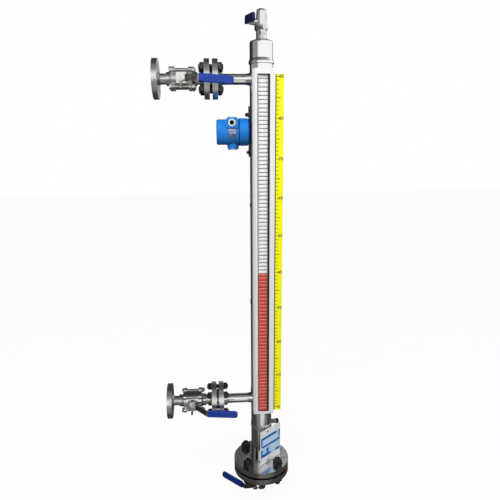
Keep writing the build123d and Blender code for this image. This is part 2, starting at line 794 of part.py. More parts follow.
def cable_gland():
    """Open gland ring in the cable entry."""
    inner = (ENTRY_X, ENTRY_Y + GLAND_IN, ENTRY_Z)
    face = (ENTRY_X, ENTRY_Y, ENTRY_Z)
    tip = (ENTRY_X, ENTRY_Y - GLAND_HEAD, ENTRY_Z)
    return pipe(GLAND_R, GLAND_BORE, inner, face) + pipe(GLAND_HEAD_R, GLAND_BORE, face, tip)


def transmitter_plug():
    """Blind plug under the head."""
    z = TX_Z - BOSS_END
    body = rod(BOSS_BORE, (BOSS_X, 0, z + PLUG_IN), (BOSS_X, 0, z))
    return body + rod(PLUG_HEAD_R, (BOSS_X, 0, z), (BOSS_X, 0, z - PLUG_HEAD_T))


def circuit_board():
    """Round board inside the head."""
    return rod(TX_NECK_R - TX_WALL, (BOARD_X, 0, TX_Z), (BOARD_X + BOARD_T, 0, TX_Z))


def transmitter_bracket():
    """Saddle strip on the chamber with a rear arm for the head and a sleeve for the sensor tube."""
    inner = CH_R + BAND_T
    saddle = Circle(inner + BRACKET_T) - Circle(inner)
    saddle &= area(-2 * CH_R, -SADDLE_IN, LUG_BACK + BRACKET_GAP, 2 * CH_R)
    y = TX_R + TX_PAD_T
    arm = area(TX_STEP_L + TX_PAD_IN, -SENSOR_R, y, y + BRACKET_T)
    arm += area(-WEB_X, BRACKET_T - WEB_X, WEB_Y, y + BRACKET_T)
    arm += Pos(0, SENSOR_Y) * Circle(SENSOR_R + BRACKET_T)
    arm -= Circle(inner)
    arm -= Pos(0, SENSOR_Y) * Circle(SENSOR_R)
    body = Pos(0, 0, BRACKET_LOW) * extrude(saddle, BRACKET_TOP - BRACKET_LOW)
    return body + Pos(0, 0, TX_Z - TX_PAD_HALF) * extrude(arm, 2 * TX_PAD_HALF)


def sensor_tube():
    """Closed sensing tube behind the chamber."""
    inner = SENSOR_R - SENSOR_WALL
    body = rod(SENSOR_R, (0, SENSOR_Y, SENSOR_LOW), (0, SENSOR_Y, SENSOR_TOP))
    return body - rod(inner, (0, SENSOR_Y, SENSOR_LOW + SENSOR_END), (0, SENSOR_Y, SENSOR_TOP - SENSOR_END))


# Nameplate

NP_TALL = NP_TOP - NP_LOW
NP_MIDDLE = (NP_LOW + NP_TOP) / 2


def nameplate_seat():
    """Plane on the back of the plate, x along its width."""
    along = (-NP_N[1], NP_N[0], 0)
    x = NP_N[0] * NP_OFF + along[0] * NP_SLIDE
    y = NP_N[1] * NP_OFF + along[1] * NP_SLIDE
    return Plane(origin=(x, y, NP_MIDDLE), x_dir=along, z_dir=(NP_N[0], NP_N[1], 0))


def nameplate():
    plate = Box(NP_W, NP_TALL, NP_T, align=(Align.CENTER, Align.CENTER, Align.MIN))
    plate = fillet(plate.edges().filter_by(Axis.Z), NP_CORNER)
    for up in NP_RIVETS:
        plate -= rod(RIVET_R, (NP_TAB, up, -CUT), (NP_TAB, up, NP_T + CUT))
    return nameplate_seat() * plate


def nameplate_rivets():
    """Two rivets with flat heads."""
    rivets = []
    for up in NP_RIVETS:
        rivet = rod(RIVET_R, (NP_TAB, up, -TAB_T), (NP_TAB, up, NP_T))
        rivet += rod(RIVET_HEAD_R, (NP_TAB, up, NP_T), (NP_TAB, up, NP_T + RIVET_HEAD))
        rivets.append(nameplate_seat() * rivet)
    return group(rivets)


def nameplate_clamp():
    """Band with a pad for the plate and two ears pulled together by a screw."""
    z = NP_TOP
    low = z - CLAMP_HALF
    top = z + CLAMP_HALF
    body = pipe(CH_R + BAND_T, CH_R, (0, 0, low), (0, 0, top))
    for y in EARS:
        body += block(CH_R - EAR_IN, EAR_OUT, y, y + EAR_T, low, top)
    body -= rod(CH_R, (0, 0, low - CUT), (0, 0, top + CUT))
    body += rod(CLAMP_SCREW_R, (CLAMP_X, CLAMP_SCREW[0], z), (CLAMP_X, CLAMP_SCREW[1], z))
    for a, b in CLAMP_NUTS:
        body += hexagon(CLAMP_NUT_AF, (CLAMP_X, a, z), (CLAMP_X, b, z))
    half = NP_TALL / 2 - TAB_EDGE
    tab = block(NP_TAB - TAB_HALF, NP_TAB + TAB_HALF, -half, half, -TAB_T, 0)
    for up in NP_RIVETS:
        tab -= rod(RIVET_R, (NP_TAB, up, -TAB_T - CUT), (NP_TAB, up, CUT))
    up = z - NP_MIDDLE
    bridge = block(NP_TAB - TAB_HALF, NP_TAB + TAB_HALF, up - CLAMP_HALF, up + CLAMP_HALF, -BRIDGE_T, 0)
    body += nameplate_seat() * tab
    body += nameplate_seat() * bridge - rod(CH_R + BAND_T, (0, 0, low - CH_R), (0, 0, top + CH_R))
    return body


def build_chamber():
    put("chamber_tube", chamber_tube())
    put("nozzle_pipes", group([nozzle_pipe(z) for z in LINES]))
    put("top_reducer", top_reducer())
    put("vent_nipple", vent_nipple())
    put("vent_plug", vent_plug())
    put("chamber_flange", chamber_flange())
    put("chamber_gasket", pipe(BF_RF_D / 2, CH_R, (0, 0, SEAL_LOW), (0, 0, SEAL_TOP)))
    put("drain_flange", big_flange(BF_LOW, SEAL_LOW, DRAIN_PIPE_R))
    studs, nuts = bottom_fasteners()
    put("chamber_studs", studs)
    put("chamber_nuts", nuts)
    put("drain_nipple", drain_nipple())
    put("float_shell", float_shell())
    put("float_magnet", float_magnet())


def build_lines():
    for name, z in (("lower", LINES[0]), ("upper", LINES[1])):
        place = Pos(VALVE_X, 0, z)
        put(name + "_end_flange", end_flange(z))
        put(name + "_valve_body", place * valve_body())
        turn = place * Rot(0, SAG, 0)
        bar, grip = lever_pair(HUB_Y, GRIP_Y, GRIP_FROM, GRIP_TO, STEM_R, STRIP_W, STOP_REACH)
        stem = ball_stem(BALL_R, BALL_BORE, STEM_R, HUB_Y, GLAND_AF, STEM_NUT, STEM_TIP)
        put(name + "_ball_stem", turn * stem)
        put(name + "_lever", turn * bar)
        put(name + "_grip", turn * grip)
    put("valve_side_flanges", group([valve_side_flange(z) for z in LINES]))
    put("nozzle_flanges", group([nozzle_flange(z) for z in LINES]))
    put("flange_gaskets", group([flange_gasket(z) for z in LINES]))
    studs, nuts = joint_studs()
    put("flange_studs", studs)
    put("flange_nuts", nuts)
    caps = []
    seats = []
    bolts = []
    for z in LINES:
        place = Pos(VALVE_X, 0, z)
        caps += [place * valve_end_cap(s) for s in (-1, 1)]
        seats += [place * valve_seat(s) for s in (-1, 1)]
        bolts += [place * valve_bolt(y, dz) for y in (-BOLT_OFF, BOLT_OFF) for dz in (-BOLT_OFF, BOLT_OFF)]
    put("valve_end_caps", group(caps))
    put("valve_seats", group(seats))
    put("valve_body_bolts", group(bolts))


def build_small_valves():
    """Vent and drain valves, both shut."""
    for name, seat in mini_places().items():
        sag = VENT_SAG if name == "vent" else 0.0
        turn = seat.location * Rot(0, 90 + sag, 0)
        shut = seat.location * Rot(0, 90, 0)
        bar, grip = lever_pair(MINI_HUB, MINI_GRIP_Y, MINI_FROM, MINI_TO, MINI_STEM, MINI_STRIP_W)
        stem = ball_stem(MINI_BALL, MINI_BORE, MINI_STEM, MINI_HUB, MINI_NUT_AF, MINI_NUT_H, MINI_TIP)
        put(name + "_valve_body", seat.location * mini_body())
        put(name + "_ball_stem", shut * stem)
        put(name + "_lever", turn * bar)
        put(name + "_grip", turn * grip)


def build_indicator():
    put("indicator_housing", indicator_housing())
    put("indicator_window", indicator_window())
    put("flap_carrier", flap_carrier())
    put("red_flaps", group([flap(k) for k in range(RED - 1)]))
    put("turning_red_flap", pinned_flap(RED - 1))
    put("turning_white_flap", pinned_flap(RED))
    put("white_flaps", group([flap(k) for k in range(RED + 1, FLAPS)]))
    put("scale_plate", scale_plate())
    put("strap_bands", strap_bands())


def build_head_and_plate():
    put("transmitter_body", transmitter_body())
    put("transmitter_left_cover", transmitter_cover(-1))
    put("transmitter_right_cover", transmitter_cover(1))
    put("cable_gland", cable_gland())
    put("transmitter_plug", transmitter_plug())
    put("circuit_board", circuit_board())
    put("transmitter_bracket", transmitter_bracket())
    put("sensor_tube", sensor_tube())
    put("nameplate", nameplate())
    put("nameplate_rivets", nameplate_rivets())
    put("nameplate_clamp", nameplate_clamp())


os.makedirs("parts", exist_ok=True)
build_chamber()
build_lines()
build_small_valves()
build_indicator()
build_head_and_plate()
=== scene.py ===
import math

import bmesh
import bpy
from mathutils import Matrix, Vector


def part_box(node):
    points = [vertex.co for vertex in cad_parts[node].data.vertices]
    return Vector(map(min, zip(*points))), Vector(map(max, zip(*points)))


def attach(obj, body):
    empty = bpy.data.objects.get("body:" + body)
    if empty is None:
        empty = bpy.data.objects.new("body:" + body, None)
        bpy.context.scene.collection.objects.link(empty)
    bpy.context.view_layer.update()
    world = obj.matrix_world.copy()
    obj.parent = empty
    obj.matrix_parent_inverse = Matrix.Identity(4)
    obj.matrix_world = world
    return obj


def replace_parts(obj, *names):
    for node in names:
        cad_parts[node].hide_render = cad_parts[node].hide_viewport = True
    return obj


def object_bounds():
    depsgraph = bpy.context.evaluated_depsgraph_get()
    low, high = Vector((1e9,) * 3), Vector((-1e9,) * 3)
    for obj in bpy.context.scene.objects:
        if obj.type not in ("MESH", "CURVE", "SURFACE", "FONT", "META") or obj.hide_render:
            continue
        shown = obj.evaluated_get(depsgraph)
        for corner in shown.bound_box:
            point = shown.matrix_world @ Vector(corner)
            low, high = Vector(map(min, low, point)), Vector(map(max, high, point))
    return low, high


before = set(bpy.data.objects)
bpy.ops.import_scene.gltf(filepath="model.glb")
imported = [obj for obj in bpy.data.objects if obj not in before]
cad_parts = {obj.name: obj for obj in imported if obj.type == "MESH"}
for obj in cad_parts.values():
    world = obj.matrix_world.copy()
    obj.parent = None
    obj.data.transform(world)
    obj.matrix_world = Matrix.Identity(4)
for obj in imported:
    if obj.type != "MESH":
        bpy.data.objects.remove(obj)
CAD_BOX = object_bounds()

bl_info = {
    "name": "Magnetic level gauge",
    "version": (1, 0, 0),
    "blender": (4, 5, 0),
    "location": "View3D > Sidebar > Level gauge",
    "description": "Finishes and small pieces of a magnetic level gauge around its packed solids",
    "category": "Object",
}

MM = 0.001
ROOT = "gauge"
LINES = ("lower", "upper")


def box(node):
    low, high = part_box(node)
    return Vector(low), Vector(high)


def middle(node):
    low, high = box(node)
    return (low + high) / 2


AXIS_X = middle("chamber_tube").x
TUBE_R = (box("chamber_tube")[1].x - box("chamber_tube")[0].x) / 2
LINE_Z = {line: middle(line + "_end_flange").z for line in LINES}
FLAP_MIDDLE = middle("red_flaps")

# Sizes that the frame's boxes don't give
PIPE_R = 13.45 * MM
STUB_WELD_X = 20.2 * MM
FOOT_WELD_R = 16.0 * MM
HEAD_R = 33.0 * MM
LABEL_WIDTH = 19.0 * MM
BOLT_HEAD = 5.3 * MM
BOLT_NUT = 6.5 * MM
BOLT_OVER = 3.0 * MM
BOLT_SHANK = 4.0 * MM
SCREW_IN = 4.5 * MM
SCREW_FRONT = -7.8 * MM
SMOOTH = 35.0
LAMP_AIM = (0.25, 0.0, 0.45)
FLOOR_HALF = 9.0
FLOOR_CARD = (0.15, 0.52)
# Dark bars of the nameplate: top and end as shares of its height, left and right of its half width
PLATE_BARS = ((0.20, 0.27, -0.93, 0.62), (0.455, 0.515, -0.80, 0.96), (0.71, 0.79, -0.93, 0.02),
              (0.56, 0.72, -0.93, -0.78), (0.25, 0.47, -0.93, -0.82), (0.57, 0.70, -0.40, -0.20),
              (0.73, 0.80, 0.50, 0.96), (0.20, 0.42, 0.84, 0.96))


# Sizes and colours that a user would change

def length(name, description, mm):
    return bpy.props.FloatProperty(name=name, description=description, default=mm * MM, min=0.0,
                                   precision=5, unit="LENGTH")


def degrees(name, description, value):
    return bpy.props.FloatProperty(name=name, description=description, default=math.radians(value),
                                   unit="ROTATION")


def share(name, description, value):
    return bpy.props.FloatProperty(name=name, description=description, default=value, min=0.0, max=4.0)


def tint(name, description, rgb):
    return bpy.props.FloatVectorProperty(name=name, description=description, default=rgb, size=3,
                                         min=0.0, max=1.0, subtype="COLOR")


class GaugeStage(bpy.types.PropertyGroup):
    camera_place: bpy.props.FloatVectorProperty(
        name="Camera place", description="Where the camera stands", size=3,
        default=(0.14297, -1.28518, 0.74031), subtype="TRANSLATION", unit="LENGTH")
    camera_turn: degrees("Camera turn", "Turn to the right of +Y", 4.187)
    camera_tilt: degrees("Camera tilt", "Tilt below the horizon", 12.67)
    camera_roll: degrees("Camera roll", "Roll about the line of sight", -0.383)
    lens: bpy.props.FloatProperty(name="Lens", description="Focal length on a 36 mm sensor",
                                  default=34.25, unit="CAMERA")
    shift: share("Shift", "Sideways shift of the frame", 0.0068)
    floor_gap: length("Floor gap", "From the floor to the drain valve", 0.5)
    sky: share("Sky", "Strength of the even light", 0.58)


class GaugeColours(bpy.types.PropertyGroup):
    chamber: tint("Chamber", "Polished chamber tube", (0.90, 0.90, 0.89))
    flange: tint("Flange", "Turned flanges", (0.78, 0.78, 0.77))
    valve: tint("Valve", "Cast valve bodies", (0.80, 0.80, 0.78))
    bolting: tint("Bolting", "Dark studs and nuts", (0.035, 0.036, 0.04))
    grip: tint("Grip", "Dipped lever grips", (0.004, 0.034, 0.27))
    head: tint("Head", "Transmitter paint", (0.012, 0.245, 0.78))
    case: tint("Case", "Indicator case", (0.90, 0.90, 0.905))
    flap_red: tint("Red flap", "Red side of the flaps", (0.76, 0.058, 0.030))
    flap_white: tint("White flap", "White side of the flaps", (0.98, 0.98, 0.98))
    ruler: tint("Ruler", "Ruler plate", (1.0, 0.97, 0.005))
    print_dark: tint("Print", "Dark print on the ruler", (0.035, 0.035, 0.02))
    plate_light: tint("Plate light", "Light field of the nameplate", (0.38, 0.64, 0.93))
    plate_dark: tint("Plate dark", "Dark field of the nameplate", (0.006, 0.13, 0.52))


class GaugeDetail(bpy.types.PropertyGroup):
    ruler_width: length("Ruler width", "Width of the ruler's printed face", 20.0)
    tick_pitch: length("Tick pitch", "From one ruler line to the next", 10.0)
    tick_height: length("Tick height", "Thickness of a ruler line", 1.4)
    tick_short: length("Short line", "Length of a plain ruler line", 8.0)
    tick_long: length("Long line", "Length of each fifth ruler line", 12.5)
    figure: length("Figure height", "Height of the ruler's figures", 9.0)
    ink: length("Ink", "How far the print stands off the ruler", 0.08)
    flap_height: length("Flap height", "Height of one flap", 8.8)
    flap_pitch: length("Flap pitch", "From one flap to the next", 10.0)
    flap_bulge: length("Flap bulge", "Crown of a flap's faces", 0.7)
    bead: length("Weld bead", "Radius of a weld bead", 0.75)
    ripple: length("Weld ripple", "Height of a bead's ripples", 0.22)


def stage_set():
    return bpy.context.scene.gauge_stage


def detail_set():
    return bpy.context.scene.gauge_detail


def colour_set():
    return bpy.context.scene.gauge_colours


# Node trees

def plug(tree, socket, value):
    """Links a value's socket, or sets a plain value."""
    if isinstance(value, Val):
        tree.links.new(value.socket, socket)
    elif isinstance(value, bpy.types.NodeSocket):
        tree.links.new(value, socket)
    else:
        socket.default_value = value


class Val:
    """A number on a node's socket, with plain arithmetic."""

    def __init__(self, tree, socket):
        self.tree = tree
        self.socket = socket

    def math(self, operation, *others):
        node = self.tree.nodes.new("ShaderNodeMath")
        node.operation = operation
        for place, value in enumerate((self,) + others):
            plug(self.tree, node.inputs[place], value)
        return Val(self.tree, node.outputs[0])

    def __add__(self, other):
        return self.math("ADD", other)

    def __sub__(self, other):
        return self.math("SUBTRACT", other)

    def __mul__(self, other):
        return self.math("MULTIPLY", other)

    def __truediv__(self, other):
        return self.math("DIVIDE", other)

    def __rsub__(self, other):
        return (self * -1.0) + other

    __radd__ = __add__
    __rmul__ = __mul__

    def step(self, low, high):
        """0 below low and 1 above high, smooth between; low may be above high."""
        node = self.tree.nodes.new("ShaderNodeMapRange")
        node.interpolation_type = "SMOOTHSTEP"
        self.tree.links.new(self.socket, node.inputs["Value"])
        backwards = low > high
        node.inputs["From Min"].default_value = min(low, high)
        node.inputs["From Max"].default_value = max(low, high)
        node.inputs["To Min"].default_value = 1.0 if backwards else 0.0
        node.inputs["To Max"].default_value = 0.0 if backwards else 1.0
        return Val(self.tree, node.outputs[0])

    def within(self, low, high, soft):
        return self.step(low - soft, low + soft) * self.step(high + soft, high - soft)


def add_node(tree, kind, settings=None, sockets=None):
    """Adds a node; its settings are made first, then its sockets get values or links."""
    node = tree.nodes.new(kind)
    for key, value in (settings or {}).items():
        if key == "stops":
            ramp = node.color_ramp.elements
            while len(ramp) < len(value):
                ramp.new(0.5)
            for element, (place, colour) in zip(ramp, value):
                element.position = place
                element.color = colour
        else:
            setattr(node, key, value)
    for key, value in (sockets or {}).items():
        plug(tree, node.inputs[key], value)
    return node


def rgba(colour):
    return (colour[0], colour[1], colour[2], 1.0)


def darker(colour, factor):
    return tuple(min(1.0, c * factor) for c in colour)


class Finish:
    """A material on Object coordinates, ended by one Principled shader."""

    def __init__(self, name):
        self.material = bpy.data.materials.new(name)
        self.material.use_nodes = True
        self.tree = self.material.node_tree
        self.tree.nodes.clear()
        self.shader = self.node("ShaderNodeBsdfPrincipled")
        self.out = self.node("ShaderNodeOutputMaterial", None, {"Surface": self.shader.outputs[0]})
        self.place = self.node("ShaderNodeTexCoord").outputs["Object"]
        parts = self.node("ShaderNodeSeparateXYZ", None, {"Vector": self.place})
        self.x, self.y, self.z = (Val(self.tree, parts.outputs[k]) for k in range(3))
        self.last_bump = None

    def node(self, kind, settings=None, sockets=None):
        return add_node(self.tree, kind, settings, sockets)

    def set(self, **values):
        for key, value in values.items():
            self.shader.inputs[key.replace("_", " ").title().replace("Ior", "IOR")].default_value = value

    def feed(self, name, value):
        plug(self.tree, self.shader.inputs[name], value)

    def stretch(self, x, y, z):
        """Object coordinates scaled on each axis."""
        node = self.node("ShaderNodeMapping", None, {"Vector": self.place, "Scale": (x, y, z)})
        return node.outputs[0]

    def noise(self, scale, detail=3.0, rough=0.5, at=None):
        node = self.node("ShaderNodeTexNoise", None,
                         {"Vector": at or self.place, "Scale": scale, "Detail": detail, "Roughness": rough})
        return Val(self.tree, node.outputs[0])

    def mix(self, factor, one, two):
        """Colour one where factor is 0 and two where it is 1."""
        node = self.node("ShaderNodeMix", {"data_type": "RGBA"})
        for key, value in (("Factor", factor), ("A", one), ("B", two)):
            kind = "VALUE" if key == "Factor" else "RGBA"
            plug(self.tree, next(s for s in node.inputs if s.name == key and s.type == kind), value)
        return next(s for s in node.outputs if s.type == "RGBA")

    def bump(self, height, strength, distance):
        sockets = {"Height": height, "Strength": strength, "Distance": distance}
        if self.last_bump is not None:
            sockets["Normal"] = self.last_bump
        self.last_bump = self.node("ShaderNodeBump", None, sockets).outputs[0]
        self.tree.links.new(self.last_bump, self.shader.inputs["Normal"])

    def from_axis(self, axis, centre):
        """Distance from a line along an axis through centre."""
        a, b = {"X": (self.y - centre[1], self.z - centre[2]),
                "Y": (self.x - centre[0], self.z - centre[2]),
                "Z": (self.x - centre[0], self.y - centre[1])}[axis]
        return (a * a + b * b).math("SQRT")


def made(name, recipe):
    """A finish made once and then shared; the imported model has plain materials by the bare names."""
    name = "look_" + name
    known = bpy.data.materials.get(name)
    if known is None:
        finish = Finish(name)
        recipe(finish)
        known = finish.material
    return known


# Finishes

def patchy(name, grain, blend, tones, rough, bump=None, **settings):
    """Two tones in patches, with roughness and relief that follow them."""
    def recipe(f):
        patch = f.noise(*grain)
        f.feed("Base Color", f.mix(patch.step(*blend), rgba(tones[0]), rgba(tones[1])))
        f.feed("Roughness", patch * rough[0] + rough[1])
        f.set(**settings)
        if bump is not None:
            f.bump(patch, *bump)
    return made(name, recipe)


def tube_steel():
    """Polished tube with very fine rings and faint smears."""
    def recipe(f):
        base = colour_set().chamber
        smear = f.noise(9.0, 4.0, 0.6, f.stretch(1.0, 1.0, 0.25))
        f.feed("Base Color", f.mix(smear.step(0.35, 0.75), rgba(base), rgba(darker(base, 0.90))))
        rings = f.noise(1.0, 2.0, 0.5, f.stretch(40.0, 40.0, 2600.0))
        f.feed("Roughness", rings * 0.07 + smear * 0.05 + 0.075)
        f.set(metallic=1.0)
        f.bump(rings, 0.035, 0.0002)
    return made("tube_steel", recipe)


def pipe_steel():
    """Polished pipe along X, with painted shade on its underside."""
    def recipe(f):
        base = colour_set().chamber
        smear = f.noise(24.0, 4.0, 0.6, f.stretch(0.5, 1.0, 1.0))
        bright = f.mix(smear.step(0.35, 0.8), rgba(base), rgba(darker(base, 0.86)))
        # painted shade: a dark band below each pipe's axis, from 9 to 30 mm down
        painted_underside_shade = sum(f.z.within(z - 30.0 * MM, z - 9.0 * MM, 1.2 * MM) for z in LINE_Z.values())
        f.feed("Base Color", f.mix(painted_underside_shade * 0.93, bright, (0.11, 0.105, 0.095, 1.0)))
        rings = f.noise(1.0, 2.0, 0.5, f.stretch(2400.0, 60.0, 60.0))
        f.feed("Roughness", rings * 0.09 + smear * 0.05 + 0.09)
        f.set(metallic=1.0)
        f.bump(rings, 0.05, 0.0002)
    return made("pipe_steel", recipe)


def turned_steel(axis, centre, name, polish=0.20):
    """Face-turned steel: grooves run round the given axis, on faces and rims alike."""
    def recipe(f):
        base = colour_set().flange
        reach = f.from_axis(axis, centre)
        along = {"X": f.x, "Y": f.y, "Z": f.z}[axis]
        grooves = ((reach + along) * 5200.0).math("SINE") * 0.5 + 0.5
        wear = f.noise(45.0, 5.0, 0.62)
        fan = f.noise(6.0, 2.0, 0.5)
        colour = f.mix(wear.step(0.42, 0.78), rgba(base), rgba(darker(base, 0.80)))
        f.feed("Base Color", f.mix(fan.step(0.5, 0.85), colour, rgba(darker(base, 0.9))))
        f.feed("Roughness", wear * 0.16 + grooves * 0.05 + polish)
        f.set(metallic=1.0)
        f.bump(grooves, 0.10, 0.0001)
        f.bump(wear, 0.04, 0.0003)
    return made(name, recipe)


def cast_steel():
    """Investment-cast valve steel, blasted and then rubbed bright on its high spots."""
    def recipe(f):
        base = colour_set().valve
        grain = f.noise(900.0, 3.0, 0.6)
        patch = f.noise(60.0, 4.0, 0.6)
        f.feed("Base Color", f.mix(patch.step(0.40, 0.70), rgba(base), rgba(darker(base, 0.62))))
        f.feed("Roughness", patch * 0.16 + grain * 0.06 + 0.09)
        f.set(metallic=1.0)
        f.bump(patch, 0.20, 0.0008)
        f.bump(grain, 0.08, 0.0002)
    return made("cast_steel", recipe)


def strip_steel():
    """Rolled strip with lengthwise grain."""
    def recipe(f):
        grain = f.noise(1.0, 3.0, 0.6, f.stretch(60.0, 60.0, 1800.0))
        patch = f.noise(70.0, 3.0, 0.6)
        f.feed("Base Color", f.mix(patch.step(0.4, 0.8), (0.34, 0.34, 0.32, 1.0), (0.15, 0.15, 0.14, 1.0)))
        f.feed("Roughness", grain * 0.12 + patch * 0.08 + 0.14)
        f.set(metallic=1.0)
        f.bump(grain, 0.06, 0.0002)
    return made("strip_steel", recipe)


def dark_steel():
    """Blackened studs and nuts with bright rubbed edges."""
    return patchy("dark_steel", (240.0, 4.0, 0.65), (0.50, 0.72), (colour_set().bolting, (0.22, 0.22, 0.225)),
                  (0.25, 0.16), (0.12, 0.0002), metallic=0.75)


def bright_bolt():
    """Plain stainless bolts."""
    return patchy("bright_bolt", (300.0, 3.0, 0.6), (0.4, 0.8), ((0.62, 0.62, 0.61), (0.40, 0.40, 0.39)),
                  (0.18, 0.16), (0.06, 0.0002), metallic=1.0)


def grip_vinyl(name, tone):
    """Dipped vinyl: glossy in waves, with a soft mottle."""
    def recipe(f):
        # tone darkens the whole grip; the vent grip's low tone is painted shade
        base = darker(colour_set().grip, tone)
        mottle = f.noise(260.0, 4.0, 0.6)
        wave = f.noise(55.0, 2.0, 0.5)
        f.feed("Base Color", f.mix(mottle.step(0.40, 0.72), rgba(base), rgba(darker(base, 1.55))))
        f.feed("Roughness", mottle * 0.16 + 0.26)
        f.set(specular_ior_level=0.5)
        f.bump(wave, 0.20, 0.0009)
        f.bump(mottle, 0.10, 0.0003)
    return made(name, recipe)


def head_paint():
    """Powder coat with orange peel, a little darker where it is rubbed."""
    def recipe(f):
        base = colour_set().head
        peel = f.noise(520.0, 2.0, 0.45)
        cloud = f.noise(32.0, 3.0, 0.5)
        paint_colour = f.mix(cloud.step(0.35, 0.75), rgba(base), rgba(darker(base, 0.86)))
        seam = box("transmitter_right_cover")[0].x
        groove = f.x.within(seam - 1.2 * MM, seam + 0.9 * MM, 0.35 * MM)
        f.feed("Base Color", f.mix(groove, paint_colour, (0.004, 0.02, 0.09, 1.0)))
        f.feed("Roughness", peel * 0.10 + cloud * 0.06 + 0.30)
        f.set(coat_weight=0.08, coat_roughness=0.15, specular_ior_level=0.35)
        f.bump(peel, 0.16, 0.0004)
    return made("head_paint", recipe)


def case_silver():
    """Anodised case with fine lengthwise brushing."""
    def recipe(f):
        base = colour_set().case
        lines = f.noise(1.0, 3.0, 0.6, f.stretch(2200.0, 900.0, 14.0))
        cloud = f.noise(5.0, 2.0, 0.5, f.stretch(4.0, 4.0, 0.6))
        brushed = f.mix(cloud.step(0.35, 0.8), rgba(base), rgba(darker(base, 0.95)))
        # painted shade: a darker strip along the left edge of the case's front
        painted_shading = f.x.step(AXIS_X - 20.5 * MM, AXIS_X - 22.5 * MM)
        f.feed("Base Color", f.mix(painted_shading, brushed, rgba(darker(base, 0.80))))
        f.feed("Roughness", lines * 0.12 + 0.34)
        f.set(metallic=0.15, specular_ior_level=0.4)
        f.bump(lines, 0.04, 0.0002)
    return made("case_silver", recipe)


def window_clear():
    """Thin clear pane that keeps its gloss."""
    def recipe(f):
        dust = f.noise(30.0, 3.0, 0.5)
        f.feed("Roughness", dust * 0.05 + 0.03)
        f.set(base_color=(0.60, 0.62, 0.62, 1.0), alpha=0.03, specular_ior_level=0.6)
    return made("window_clear", recipe)


def carrier_black():
    """Channel behind the flaps, painted black for the shade inside it; its left wall is painted pale for the
    light on it.
    """
    def recipe(f):
        grain = f.noise(700.0, 2.0, 0.5)
        # painted light on the left wall; the black elsewhere is painted shade
        pale = f.x.step(AXIS_X - 10.0 * MM, AXIS_X - 12.0 * MM)
        dark = f.mix(grain.step(0.3, 0.8), (0.008, 0.009, 0.010, 1.0), (0.022, 0.023, 0.024, 1.0))
        f.feed("Base Color", f.mix(pale, dark, (0.50, 0.51, 0.52, 1.0)))
        f.feed("Roughness", grain * 0.15 + 0.55)
        f.set(specular_ior_level=0.15)
        f.bump(grain, 0.05, 0.0002)
    return made("carrier_black", recipe)


def flap_lacquer(name, front, back, edge):
    """Lacquered flap, one colour in front and the other behind, with painted shade at its rounded top and
    bottom edges.
    """
    def recipe(f):
        streak = f.noise(1.0, 3.0, 0.5, f.stretch(60.0, 60.0, 900.0))
        cloud = f.noise(90.0, 3.0, 0.55)
        behind = f.y.step(FLAP_MIDDLE.y - 0.1 * MM, FLAP_MIDDLE.y + 0.1 * MM)
        colour = f.mix(behind, rgba(front), rgba(back))
        shade = (streak * 0.5 + cloud * 0.5).step(0.35, 0.7)
        pitch = detail_set().flap_pitch
        phase = ((f.z - (middle("turning_red_flap").z - 10.5 * pitch)) / pitch).math("PINGPONG", 0.5)
        # painted shade: the edge colour darkens each flap towards its top and bottom edges
        painted_edge_shade = phase.step(0.19, 0.08)
        worn = f.mix(shade * 0.04, colour, (0.25, 0.14, 0.12, 1.0))
        f.feed("Base Color", f.mix(painted_edge_shade * 0.75, worn, rgba(edge)))
        f.feed("Roughness", cloud * 0.12 + 0.42)
        f.set(specular_ior_level=0.10)
        f.bump(cloud, 0.04, 0.0003)
    return made(name, recipe)


# The edge colours below are painted shade on the flaps' rounded edges.
def flap_red():
    return flap_lacquer("flap_red", colour_set().flap_red, colour_set().flap_white, (0.50, 0.030, 0.016))


def flap_white():
    return flap_lacquer("flap_white", colour_set().flap_white, colour_set().flap_red, (0.36, 0.36, 0.36))


def ruler_yellow():
    """Screen-printed yellow sheet."""
    def recipe(f):
        base = colour_set().ruler
        ink = f.noise(140.0, 3.0, 0.55)
        fade = f.noise(3.0, 2.0, 0.5)
        colour = f.mix(ink.step(0.45, 0.85), rgba(base), rgba(darker(base, 0.94)))
        worn = f.mix(fade.step(0.5, 0.8), colour, (0.92, 0.95, 0.02, 1.0))
        edge = box("scale_plate")[1].x - detail_set().ruler_width
        # painted shade: a dark strip along the ruler's left edge, for the shadowed gap beside the case
        painted_gap_shade = f.x.step(edge + 1.8 * MM, edge + 1.3 * MM)
        f.feed("Base Color", f.mix(painted_gap_shade, worn, (0.055, 0.055, 0.035, 1.0)))
        f.feed("Roughness", ink * 0.10 + 0.34)
        f.set(specular_ior_level=0.25)
        f.bump(ink, 0.03, 0.0002)
    return made("ruler_yellow", recipe)


def plain_ink(name, colour):
    """Matt print with a slightly uneven edge of tone."""
    return patchy(name, (900.0, 2.0, 0.5), (0.4, 0.8), (colour, darker(colour, 1.25)), (0.12, 0.40))


def graphite():
    """Flexible graphite sheet seen at its edge."""
    def recipe(f):
        layers = f.noise(1.0, 2.0, 0.5, f.stretch(900.0, 120.0, 900.0))
        f.feed("Base Color", f.mix(layers.step(0.3, 0.8), (0.03, 0.03, 0.032, 1.0), (0.08, 0.08, 0.082, 1.0)))
        f.feed("Roughness", layers * 0.2 + 0.5)
        f.bump(layers, 0.2, 0.0002)
    return made("graphite", recipe)


def board_green():
    """Solder resist."""
    return patchy("board_green", (400.0, 2.0, 0.4), (0.5, 0.55), ((0.01, 0.10, 0.035), (0.015, 0.15, 0.05)),
                  (0.1, 0.3))


def seat_plastic():
    """White sealing plastic."""
    return patchy("seat_plastic", (150.0, 2.0, 0.5), (0.3, 0.8), ((0.88, 0.88, 0.86), (0.80, 0.80, 0.78)),
                  (0.1, 0.4))


def grey_steel():
    """Dull dark sheet and tube behind the chamber."""
    return patchy("grey_steel", (180.0, 4.0, 0.6), (0.4, 0.8), ((0.085, 0.086, 0.09), (0.15, 0.15, 0.155)),
                  (0.2, 0.35), (0.08, 0.0003), metallic=0.7)


